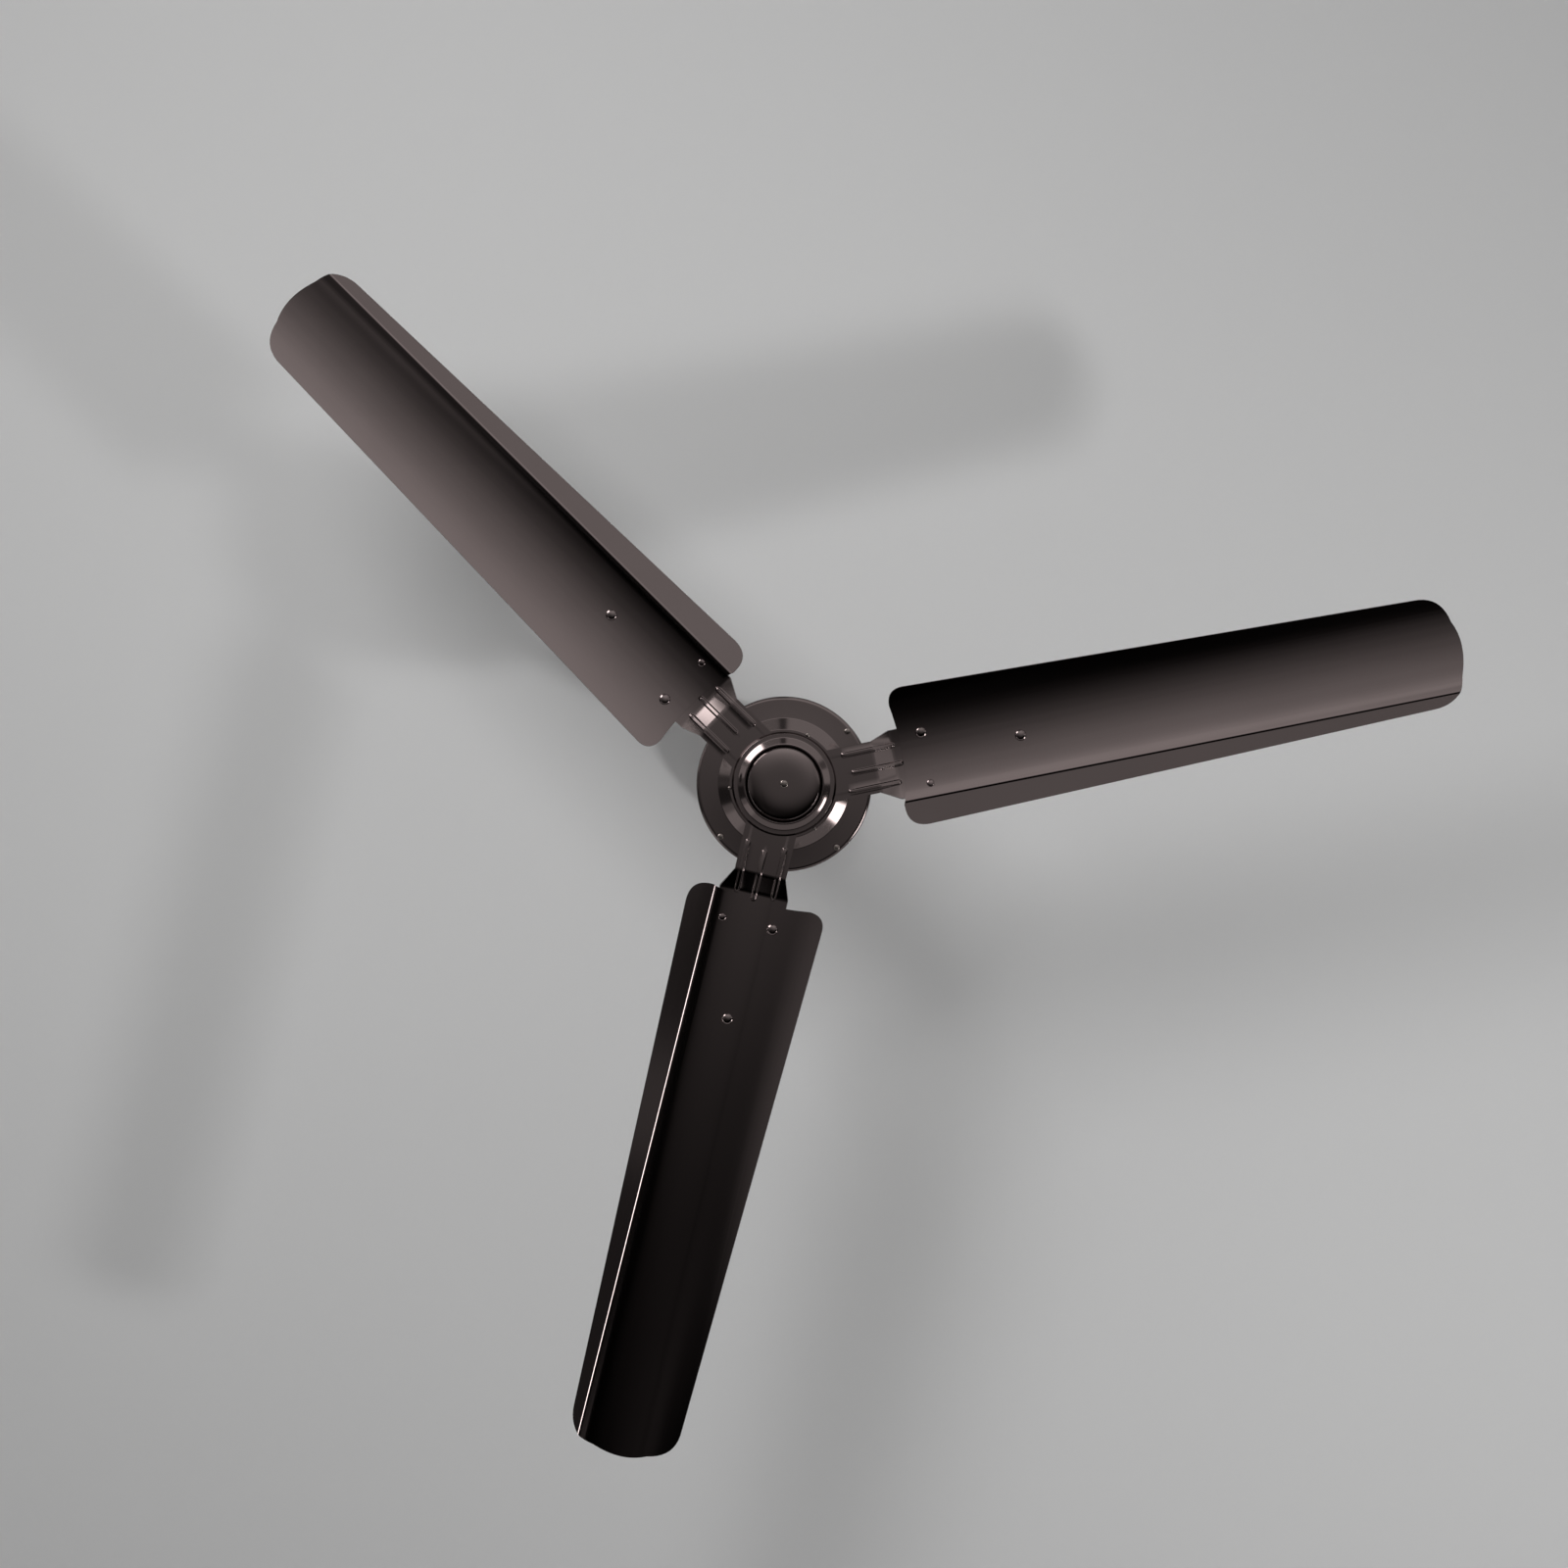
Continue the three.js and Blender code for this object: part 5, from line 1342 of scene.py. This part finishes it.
@dataclass
class Motor:
    """The motor's two painted covers and the screws that close them."""

    maker: Maker
    edge_round: float = 0.0032
    hub_radius: float = 0.0474
    cone_radius: float = 0.0573
    hub_height: float = 0.0086
    shoulder_above_base: float = 0.044
    boss_radius: float = 0.026
    boss_height: float = 0.004
    shaft_hole: float = 0.0105
    boss_screw_depth: float = 0.004
    rim_wall: float = 0.007
    web: float = 0.0036
    floor_web: float = 0.001
    joint_groove: float = 0.0006
    ring_rise: float = 0.00035
    soft: float = 0.0004
    soft_share: float = 0.7
    dome_steps: int = 16
    steps: int = 160
    screw: ScrewSizes = ScrewSizes(0.0016, 0.030, 0.0026, 0.0016, 0.0014)
    screw_turn: float = 35.0

    def bottom(self) -> None:
        """Makes the lower cover: hub boss, cone, flat ring, rounded edge and wall."""
        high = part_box("motor_bottom_cover")[1]
        radius, split = high.x, high.z
        hub = self.hub_face()
        base = hub + self.hub_height
        corner = self.edge_round
        eased = self.soft * self.soft_share
        profile = [
            (0.0, hub), (self.hub_radius - self.soft, hub), (self.hub_radius + eased, hub + eased),
            (self.cone_radius - self.soft, base - self.soft), (self.cone_radius + self.soft, base),
            *arc((radius - corner, base + self.ring_rise + corner), corner, -90, 0, 8),
            (radius, split - self.joint_groove), (radius - self.joint_groove, split),
            (radius - self.rim_wall, split), (radius - self.rim_wall, base + self.web), (0.0, base + self.floor_web),
        ]
        form = Form().revolve(profile, self.steps)
        self.maker.fit(form.piece("motor_lower_cover", sharp=28.0), Body.ROTOR, Coat.CASTING, "motor_bottom_cover")

    def hub_face(self) -> float:
        """Height of the hub boss's flat face, which the brackets lie under."""
        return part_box("trim_screw_1")[1].z - self.boss_screw_depth + GAP

    def top(self) -> None:
        """Makes the upper cover: wall, domed shoulder and the boss round the shaft."""
        low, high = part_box("motor_top_cover")
        radius, split, top = high.x, low.z, high.z
        base = self.hub_face() + self.hub_height
        shoulder = base + self.shoulder_above_base
        rise = top - self.boss_height - shoulder
        outer = dome(self.boss_radius, radius, shoulder, rise, self.dome_steps)
        inner = dome(self.boss_radius, radius - self.rim_wall, shoulder - self.web, rise, self.dome_steps)
        profile = [
            (radius - self.rim_wall, split), (radius - self.joint_groove, split), (radius, split + self.joint_groove),
            *outer, (self.boss_radius, top - self.soft), (self.boss_radius - self.soft, top),
            (self.shaft_hole + self.soft, top), (self.shaft_hole, top - self.soft),
            (self.shaft_hole, top - self.web), *reversed(inner),
        ]
        form = Form().revolve(profile, self.steps, ring=True)
        self.maker.fit(form.piece("motor_upper_cover", sharp=28.0), Body.ROTOR, Coat.CASTING, "motor_top_cover")

    def screws(self) -> None:
        """Makes the four screws in the flat ring."""
        for number in range(1, 5):
            self.maker.screw(f"cover_screw_{number}", self.screw, self.screw_turn * number)

    def build(self) -> None:
        """Makes the covers and their screws."""
        self.bottom()
        self.top()
        self.screws()


@dataclass
class Hanger:
    """Bobbin, shackle, hanger bolt with its split pin, and the connector block."""

    maker: Maker
    hook_bolt: HexSizes = HexSizes(0.005, 0.0065, 0.0015, 0.004)
    groove_radius: float = 0.0095
    groove_ease: Shares = (0.45, 1.05, 0.35)
    bobbin_soft: float = 0.0008
    flange: float = 0.005
    strip: float = 0.004
    bend: float = 0.007
    socket_radius: float = 0.0145
    socket_soft: float = 0.0006
    weld: tuple[Point, ...] = ((0.0, -0.003), (0.0007, -0.0018), (0.0021, -0.0006), (0.0026, 0.0004))
    rod_gap: float = 0.0108
    corner: float = 0.0007
    arm_tip: float = 0.06
    pin_wire: float = 0.00062
    pin_eye: float = 0.0026
    pin_squash: float = 0.8
    pin_opening: float = 18.0
    pin_bend: tuple[Point, ...] = ((0.0034, -0.0024), (0.001, -0.0012), (0.0, 0.0))
    pin_tip: float = 0.0004
    slot: float = 0.005
    slot_depth: float = 0.009
    block_round: float = 0.0005
    arm_steps: int = 10
    bend_steps: int = 8
    eye_steps: int = 20
    steps: int = 64

    def bobbin(self) -> None:
        """Makes the moulded bobbin with its waisted groove."""
        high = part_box("hanger_bobbin")[1]
        half, radius = high.x, high.z
        bore = self.hook_bolt.radius + GAP
        soft = self.bobbin_soft
        waist = half - self.flange
        start, bend, end = self.groove_ease
        line = [(bore + soft, -half), (radius - soft, -half), (radius, -half + soft),
                *curve((radius, -half + self.flange * start), (self.groove_radius, -waist * bend),
                       (self.groove_radius, -waist * end), 12)]
        line += [(r, -x) for r, x in reversed(line)]
        line += [(bore, half - soft), (bore, -half + soft)]
        form = Form().revolve(line, self.steps, ring=True).move(ALONG_X)
        self.maker.fit(form.piece("moulded_bobbin", sharp=40.0), Body.HANGER, Coat.RUBBER, "hanger_bobbin")

    def shackle(self) -> None:
        """Makes the bent strap with round arm ends and the socket welded under it."""
        low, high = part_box("shackle")
        half, outer = high.y, high.x
        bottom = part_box("downrod")[1].z + GAP
        middle = outer - self.strip / 2
        bend = self.bend - self.strip / 2
        path = [((middle, half * math.sin(a)), (1.0, 0.0), half * max(math.cos(a), self.arm_tip))
                for a in spread(90, 0, self.arm_steps)]
        for a in spread(0, 90, self.bend_steps):
            way = (math.cos(a), -math.sin(a))
            path.append(((middle - bend + bend * way[0], bottom + self.strip / 2 + bend + bend * way[1]), way, half))
        path += [((-x, z), (-nx, nz), w) for (x, z), (nx, nz), w in reversed(path)]
        loops = []
        for (x, z), (nx, nz), width in path:
            thick, c = self.strip / 2, min(self.corner, width / 3)
            section = [(thick, width - c), (thick - c, width), (c - thick, width), (-thick, width - c),
                       (-thick, c - width), (c - thick, -width), (thick - c, -width), (thick, c - width)]
            loops.append([(x + nx * t, w, z + nz * t) for t, w in section])
        form = Form().loft(loops)
        foot, wall, soft = low.z, self.socket_radius, self.socket_soft
        weld = [(wall + out, bottom + up) for out, up in self.weld]
        profile = [(self.rod_gap + soft, foot), (wall - soft, foot), (wall, foot + soft), *weld,
                   (self.rod_gap, weld[-1][1]), (self.rod_gap, foot + soft)]
        form.join(Form().revolve(profile, self.steps, ring=True))
        self.maker.fit(form.piece("bent_shackle", sharp=40.0), Body.SUSPENSION, Coat.ZINC, "shackle")

    def bolt(self) -> None:
        """Makes the hanger bolt, its nut and the split pin through its tip."""
        sizes = self.hook_bolt
        self.maker.bolt(sizes, ("hanger_bolt", "hanger_nut"), ("hook_bolt", "hook_nut"))
        pin_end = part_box("hanger_split_pin")[0].z + self.pin_tip
        middle = (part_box("hanger_bolt")[1].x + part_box("hanger_nut")[0].x + sizes.head) / 2
        top, tail, wire, eye = sizes.radius + GAP, -sizes.radius, self.pin_wire, self.pin_eye
        ring = [(middle + eye * math.sin(a) * self.pin_squash, 0.0, top + eye - eye * math.cos(a))
                for a in spread(self.pin_opening, 360 - self.pin_opening, self.eye_steps)]
        right = [(middle + wire + out, 0.0, tail + up) for out, up in self.pin_bend]
        left = [(middle - wire, 0.0, tail), (middle - wire, 0.0, pin_end)]
        form = Form().wire([*right, *ring, *left], wire)
        self.maker.fit(form.piece("bent_split_pin", sharp=60.0), Body.SUSPENSION, Coat.ZINC, "hanger_split_pin")

    def connector(self) -> None:
        """Makes the connector block with a slot for each wire."""
        low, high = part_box("terminal_block")
        form = Form().block(low, high)
        middle = (low.x + high.x) / 2
        for side in (-1, 1):
            for edge in (-0.5, 0.5):
                form.cut((0, (side + edge) * self.slot, 0), (0, 1, 0))
        for edge in (-0.5, 0.5):
            form.cut((middle + edge * self.slot, 0, 0), (1, 0, 0))

        def in_slot(point: Vector) -> bool:
            """True on the top face inside a wire slot."""
            near = abs(abs(point.y) - self.slot) < self.slot / 2
            return point.z > high.z - GAP and near and abs(point.x - middle) < self.slot / 2

        form.recess(in_slot, -self.slot_depth).bevel(self.block_round)
        self.maker.fit(form.piece("connector_block"), Body.SUSPENSION, Coat.PLASTIC, "terminal_block")

    def build(self) -> None:
        """Makes the whole hanger."""
        self.bobbin()
        self.shackle()
        self.bolt()
        self.connector()


@dataclass
class Suspension:
    """Rod, its cross bolts, the capacitor, the shaft's socket and the two canopies."""

    maker: Maker
    cross_bolt: HexSizes = HexSizes(0.004, 0.0052)
    set_screw: ScrewSizes = ScrewSizes(0.002, 0.0062, 0.004, 0.003, 0.0024)
    rod_wall: float = 0.0023
    rod_soft: float = 0.0004
    canopy_wall: float = 0.0014
    collar_radius: float = 0.017
    collar_height: float = 0.012
    rod_gap_radius: float = 0.0108
    rim_round: float = 0.0009
    lug: float = 0.0015
    lug_half: float = 0.0065
    neck_radius: float = 0.0095
    socket_floor: float = 0.004
    shaft_soft: float = 0.0008
    shaft_radius: float = 0.009
    bearing_seat: float = 0.0072
    upper_seat: float = 0.0116
    lower_seat: float = 0.0113
    wire_bore: float = 0.004
    wire_depth: float = 0.01
    case_height: float = 0.014
    case_round: float = 0.0016
    lug_root: float = 0.002
    lug_round: float = 0.0004
    canopy_steps: int = 24
    canopy_facets: int = 128
    steps: int = 64
    canopy_rim_ease: float = 0.4

    def rod(self) -> None:
        """Makes the tube with softened ends."""
        low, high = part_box("downrod")
        outer = high.x
        inner = outer - self.rod_wall
        soft = self.rod_soft
        profile = [
            (inner, low.z + soft), (inner + soft, low.z), (outer - soft, low.z), (outer, low.z + soft),
            (outer, high.z - soft), (outer - soft, high.z), (inner + soft, high.z), (inner, high.z - soft),
        ]
        form = Form().revolve(profile, self.steps, ring=True)
        self.maker.fit(form.piece("painted_rod"), Body.SUSPENSION, Coat.PAINT, "downrod")

    def cross_bolts(self) -> None:
        """Makes the two bolts through the rod and their nuts."""
        for place in ("upper", "lower"):
            nodes = (f"rod_{place}_bolt", f"rod_{place}_nut")
            self.maker.bolt(self.cross_bolt, nodes, (f"{place}_cross_bolt", f"{place}_cross_nut"))

    def capacitor(self) -> None:
        """Makes the capacitor's moulded case and its lug."""
        low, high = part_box("run_capacitor")
        case_top = low.z + self.case_height
        case = Form().block(low, (high.x, high.y, case_top)).bevel(self.case_round, 4)
        root = (low.x, -self.lug_half, case_top - self.lug_root)
        lug = Form().block(root, (low.x + self.lug, self.lug_half, high.z))
        form = case.join(lug.bevel(self.lug_round))
        self.maker.fit(form.piece("capacitor_case"), Body.SUSPENSION, Coat.PLASTIC, "run_capacitor")

    def shaft(self) -> None:
        """Makes the turned shaft with its socket for the rod."""
        low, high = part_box("motor_shaft")
        socket_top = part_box("downrod")[0].z - GAP
        socket_base = socket_top - self.socket_floor
        outer, soft, seat, gap = high.x, self.shaft_soft, self.bearing_seat, self.rod_gap_radius
        seat_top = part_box("motor_top_cover")[1].z - Motor.web
        seat_low = seat_top - self.upper_seat
        lower_seat = low.z + self.lower_seat
        profile = [
            (0.0, low.z), (seat - soft, low.z), (seat, low.z + soft), (seat, lower_seat),
            (self.shaft_radius, lower_seat), (self.shaft_radius, seat_low), (seat, seat_low), (seat, seat_top),
            (self.neck_radius, seat_top), (self.neck_radius, socket_base - soft),
            (self.neck_radius + soft, socket_base), (outer - soft, socket_base), (outer, socket_base + soft),
            (outer, high.z - soft), (outer - soft, high.z), (gap + soft, high.z), (gap, high.z - soft),
            (gap, socket_top), (self.wire_bore, socket_top), (self.wire_bore, socket_base - self.wire_depth),
            (0.0, socket_base - self.wire_depth),
        ]
        form = Form().revolve(profile, self.steps)
        self.maker.fit(form.piece("turned_shaft"), Body.SUSPENSION, Coat.ZINC, "motor_shaft")

    def canopy(self, node: str, body: Body, up: int) -> None:
        """Makes one canopy and its set screw.

        Args:
            node: The CAD node that it stands for.
            body: The body that it rides on.
            up: 1 where the rim is above the collar, -1 where it is below.
        """
        low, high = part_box(node)
        radius = high.x
        rim = high.z if up > 0 else low.z
        height = high.z - low.z - self.collar_height
        line = dome(self.collar_radius, radius, rim, -up * height, self.canopy_steps)
        inside = lining(line, -up * self.canopy_wall)
        bore, wall = self.rod_gap_radius, self.canopy_wall
        end = rim - up * (height + self.collar_height)
        soft = up * self.rim_round
        lip = rim - soft * self.canopy_rim_ease
        profile = [
            *line[1:], (self.collar_radius, end + soft), (self.collar_radius - abs(soft), end), (bore, end),
            (bore, rim - up * (height - wall)), *reversed(inside[1:-1]),
            (radius - wall, lip), (radius - wall / 2, rim), (radius, lip),
        ]
        form = Form().revolve(profile, self.canopy_facets, ring=True)
        self.maker.fit(form.piece(f"{node}_bell", sharp=40.0), body, Coat.CANOPY, node)
        low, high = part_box(f"{node}_screw")
        screw = cross_screw(self.set_screw)
        screw.move(turn("X", 90), shift(y=low.y + self.set_screw.length, z=(low.z + high.z) / 2))
        self.maker.fit(screw.piece(f"{node}_set_screw"), body, Coat.ZINC, f"{node}_screw")

    def build(self) -> None:
        """Makes the rod and all that hangs on it above the motor."""
        self.rod()
        self.cross_bolts()
        self.capacitor()
        self.shaft()
        self.canopy("top_canopy", Body.TOP_CANOPY, 1)
        self.canopy("lower_canopy", Body.LOWER_CANOPY, -1)


@dataclass(frozen=True)
class Card:
    """A soft-edged bright or dark patch of the room that the paint reflects.

    Directions are the photograph's: the azimuth runs anticlockwise from its right, and low and high are the
    patch's angles away from straight below the hub.
    """

    azimuth: float
    half_width: float
    level: float
    low: float = 55.0
    high: float = 112.0
    soft: float = 2.0
    fade: float = 4.0


@dataclass(frozen=True)
class Spot:
    """A round soft patch below the fan: its middle to the right and up, two radii, and its strength."""

    right: float
    up: float
    inner: float
    outer: float
    strength: float


@dataclass(frozen=True)
class Lamp:
    """A square soft box that shines on the hub.

    Its place is to the photograph's right, up, and below the blades; its size is in metres, its power in watts.
    """

    name: str
    place: Place
    size: float
    power: float


@dataclass
class Studio:
    """Floor, ceiling, lights and the camera.

    The tent's brightness is a polynomial, with its terms in sheen as powers of right, powers of up and a factor.
    Darker and lighter regions, a seam, an even band near the horizon and the cards are laid over it in turn.
    """

    fan_height: float = -0.383
    camera_drop: float = 2.2
    lens: float = 58.5
    sensor: float = 36.0
    floor_height: float = -3.3
    ceiling_height: float = 0.045
    half_floor: float = 14.0
    room_light: float = 0.20
    tent_radius: float = 2.5
    tent_fineness: int = 5
    tent_colour: tuple[float, ...] = (1.0, 0.985, 0.97, 1.0)
    darkest: float = 0.01
    brightest: float = 1.6
    dark_foot: Point = (-0.60, -0.32)
    dark_corner: Point = (-0.92, -0.66)
    light_head: Point = (0.35, 0.65)
    head_strength: float = 0.25
    dark_spot: Spot = Spot(-0.52, -0.36, 0.05, 0.24, 0.5)
    light_spots: tuple[Spot, ...] = (Spot(-0.70, -0.08, 0.04, 0.26, 0.2), Spot(0.80, 0.18, 0.05, 0.30, 0.6))
    seam_slope: float = 0.242
    seam_edges: tuple[Point, Point] = ((-0.170, -0.160), (-0.146, -0.136))
    seam_end: Point = (-0.1, 0.0)
    seam_strength: float = 0.4
    horizon: float = 0.62
    horizon_angle: float = 57.0
    horizon_soft: float = 4.0
    ceiling_glow: Point = (0.35, 0.6)
    sheen: tuple[tuple[int, int, float], ...] = (
        (0, 0, 0.361), (0, 1, 1.361), (0, 2, 0.861), (0, 3, -1.527), (1, 0, 0.363), (1, 1, 0.601),
        (1, 2, -0.965), (2, 0, -0.427), (2, 1, -1.129), (3, 0, -0.714),
    )
    cards: tuple[Card, ...] = (
        Card(11, 10, 0.95),
        Card(26, 5, 0.34),
        Card(60, 27, 0.95, soft=4),
        Card(91.5, 3.5, 0.16),
        Card(107, 12, 0.6),
        Card(134, 13.5, 14.0, 54, 89),
        Card(151.5, 3.5, 0.5),
        Card(163, 8, 0.95),
        Card(177, 5, 0.24),
        Card(191, 9, 0.07),
        Card(172, 5.5, 0.06, 70, 80, fade=1.5),
        Card(205, 4, 0.5),
        Card(216, 8, 0.95),
        Card(332, 9, 16.0, 69, 88, fade=2),
        Card(351, 8, 0.12),
    )
    floor_paint: RoomPaint = RoomPaint("pale_floor", (0.62, 0.62, 0.61), (0.68, 0.68, 0.67), 0.7, 0.9)
    ceiling_paint: RoomPaint = RoomPaint("pale_ceiling", (0.71,) * 3, (0.73,) * 3, 0.9, 0.95)
    key_lamp: Lamp = Lamp("key_box", (1.353, -0.739, 1.16), 0.14, 11.0)
    second_lamp: Lamp = Lamp("second_box", (-0.6, 0.75, 1.4), 0.6, 13.5)
    crease_distance: float = 0.5
    crease_tilt: float = 53.0
    crease_size: tuple[float, float] = (0.70, 0.087)
    crease_run: float = 0.46
    crease_power: float = 3.5

    def plane(self, paint: RoomPaint, height: float) -> tuple[bpy.types.Object, Shader]:
        """A level square of the room, which isn't part of the fan.

        Args:
            paint: Its paint, whose name it takes.
            height: Where it lies.

        Returns:
            The square and its shader.
        """
        form = Form()
        bmesh.ops.create_grid(form.mesh, x_segments=1, y_segments=1, size=self.half_floor, matrix=shift(z=height))
        made = form.piece(paint.name)
        shader = paint.build()
        made.data.materials.append(shader.material)
        return made, shader

    def floor(self) -> None:
        """Makes the pale floor far below, which neither lights nor shades the fan."""
        floor, _ = self.plane(self.floor_paint, self.floor_height)
        hide(floor, "glossy", "diffuse", "shadow")

    def ceiling(self) -> None:
        """Makes the pale ceiling, which shows only from below."""
        _, shader = self.plane(self.ceiling_paint, self.ceiling_height)
        clear = shader.node("ShaderNodeBsdfTransparent")
        side = shader.node("ShaderNodeNewGeometry")
        mix = shader.node("ShaderNodeMixShader")
        layers = (side.outputs["Backfacing"], clear.outputs[0], shader.surface.outputs[0])
        for place, layer in zip(mix.inputs, layers):
            shader.feed(place, layer)
        shader.feed(shader.tree.nodes["Material Output"].inputs[0], mix.outputs[0])

    def tent(self) -> None:
        """Makes the light tent round the fan, which shows only in its reflections."""
        form = Form()
        bmesh.ops.create_icosphere(form.mesh, subdivisions=self.tent_fineness, radius=self.tent_radius)
        tent = form.piece("light_tent", sharp=180.0)
        tent.location.z = self.fan_height
        hide(tent, "camera", "diffuse", "shadow", "transmission")
        shader = Shader("light_tent")
        glow = shader.node("ShaderNodeEmission", Strength=self.glow(shader), Color=self.tent_colour)
        shader.feed(shader.tree.nodes["Material Output"].inputs[0], glow.outputs[0])
        tent.data.materials.append(shader.material)

    def underneath(self, right: Value, up: Value) -> Value:
        """The tent's brightness straight below the fan, from its place to the photograph's right and up."""
        across, along = [1.0, right, right * right], [1.0, up, up * up]
        across.append(across[2] * right)
        along.append(along[2] * up)
        level = right * 0.0
        for i, j, share in self.sheen:
            level = level + across[i] * along[j] * share
        level = level.at_least(self.darkest).at_most(self.brightest) * up.step(*self.dark_foot)
        level = level * (right + up).step(*self.dark_corner) + up.step(*self.light_head) * self.head_strength
        level = level * (1.0 - self.spot(right, up, self.dark_spot))
        for spot in self.light_spots:
            level = level + self.spot(right, up, spot)
        along_blade = right - up * self.seam_slope
        first, last = self.seam_edges
        seam = along_blade.step(*first) * (1.0 - along_blade.step(*last)) * (1.0 - up.step(*self.seam_end))
        return level * (1.0 - seam * self.seam_strength)

    def glow(self, shader: Shader) -> Value:
        """The tent's brightness at each place."""
        split = shader.node("ShaderNodeSeparateXYZ", Vector=shader.where([1 / self.tent_radius] * 3))
        right, back, high = (Value(shader.tree, split.outputs[i]) for i in range(3))
        up, below = back * -1.0, high * -1.0
        level = self.underneath(right, up)
        reach = (right * right + up * up).root()
        level = level + (self.horizon - level) * (1.0 - self.rise(below, self.horizon_angle, self.horizon_soft))
        for card in self.cards:
            turned = math.radians(card.azimuth)
            toward = (right * math.cos(turned) + up * math.sin(turned)) / reach
            mask = self.rise(toward, card.half_width, card.soft)
            mask = mask * self.rise(below, card.high, card.fade) * (1.0 - self.rise(below, card.low, card.fade))
            level = level + (card.level - level) * mask
        above = high.step(*self.ceiling_glow)
        return level * (1.0 - above) + above

    def rise(self, cosine: Value, angle: float, soft: float) -> Value:
        """1 where an angle, given by its cosine, is smaller than a limit in degrees, with a soft edge."""
        return cosine.step(math.cos(math.radians(angle + soft)), math.cos(math.radians(max(angle - soft, 0.0))))

    def spot(self, right: Value, up: Value, spot: Spot) -> Value:
        """A round soft patch, at its strength in its middle and 0 outside."""
        across, along = right - spot.right, up - spot.up
        return (1.0 - (across * across + along * along).root().step(spot.inner, spot.outer)) * spot.strength

    def sky(self) -> None:
        """Sets the room's even light."""
        world = bpy.data.worlds.new("room")
        bpy.context.scene.world = world
        world.use_nodes = True
        back = world.node_tree.nodes["Background"]
        back.inputs["Color"].default_value = (1.0, 1.0, 1.0, 1.0)
        back.inputs["Strength"].default_value = self.room_light

    def soft_box(self, name: str, size: Point, power: float, unseen: str) -> bpy.types.Object:
        """Adds a soft box that the camera doesn't see.

        Args:
            name: The lamp's name.
            size: Width and height of the box.
            power: Watts.
            unseen: The other kind of ray that it sends no light to.

        Returns:
            The lamp, still to be placed.
        """
        data = bpy.data.lights.new(name, "AREA")
        data.shape = "RECTANGLE"
        data.size, data.size_y = size
        data.energy = power
        lamp = bpy.data.objects.new(name, data)
        hide(lamp, "camera", unseen)
        bpy.context.scene.collection.objects.link(lamp)
        return lamp

    def room_lamp(self, lamp: Lamp) -> None:
        """Adds one of the lamps that light the fan and cast its shadows."""
        box = self.soft_box(lamp.name, (lamp.size, lamp.size), lamp.power, "glossy")
        right, up, below = lamp.place
        way = Vector((right, -up, -below))
        box.location = way + Vector((0, 0, self.fan_height))
        box.rotation_mode = "QUATERNION"
        box.rotation_quaternion = way.to_track_quat("Z", "Y")

    def crease_lamp(self, angle: float, blade: bpy.types.Object) -> None:
        """Adds a long narrow soft box beside one blade, which draws a line of light along its crease.

        Args:
            angle: The blade's angle in the row frame.
            blade: The blade's piece, the only one that takes its light.
        """
        lamp = self.soft_box("crease_box", self.crease_size, self.crease_power, "diffuse")
        tilt = math.radians(self.crease_tilt)
        side = Sheet.crease_root + self.crease_distance * math.sin(tilt)
        place = shift(self.crease_run, side, self.fan_height - self.crease_distance * math.cos(tilt))
        lamp.matrix_world = turn("Z", angle) @ place @ turn("X", 180 + self.crease_tilt)
        group = bpy.data.collections.new("creased_blade")
        group.objects.link(blade)
        lamp.light_linking.receiver_collection = group

    def camera(self) -> None:
        """Puts the camera straight below the hub, looking up."""
        data = bpy.data.cameras.new("camera")
        data.lens = self.lens
        data.sensor_width = self.sensor
        camera = bpy.data.objects.new("camera", data)
        camera.location = (0.0, 0.0, self.fan_height - self.camera_drop)
        camera.rotation_euler = (math.pi, 0.0, 0.0)
        bpy.context.scene.collection.objects.link(camera)
        bpy.context.scene.camera = camera

    def build(self, angle: float, blade: bpy.types.Object) -> None:
        """Makes everything around the fan, with a line of light on one blade's crease."""
        self.floor()
        self.ceiling()
        self.tent()
        self.sky()
        self.room_lamp(self.key_lamp)
        self.crease_lamp(angle, blade)
        self.room_lamp(self.second_lamp)
        self.camera()
        bpy.context.scene.view_settings.view_transform = "Standard"


def main() -> None:
    """Builds the fan's pieces in order."""
    logging.basicConfig(level=logging.INFO, format="%(name)s %(message)s")
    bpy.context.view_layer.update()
    finishes = Finishes()
    finishes.dress_nodes(frame["record"])
    maker = Maker(finishes)
    sheet = Sheet(crest_top=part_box("bracket_1")[1].z - Bracket.thickness - GAP)
    motor = Motor(maker)
    flat_under = motor.hub_face() - GAP - Bracket.thickness
    for number, angle in enumerate(BLADE_ANGLES, 1):
        blade = Blade(maker, sheet).build(number, angle)
        Bracket(maker, sheet, flat_under).build(number, angle)
        Rivets(maker, sheet).build(number, angle)
    motor.build()
    Hub(maker).build()
    for end in ("upper", "lower"):
        Bearing(maker).build(end)
    Windings(maker).build()
    Suspension(maker).build()
    Hanger(maker).build()
    Studio().build(BLADE_ANGLES[-1], blade)


if __name__ == "__main__":
    main()
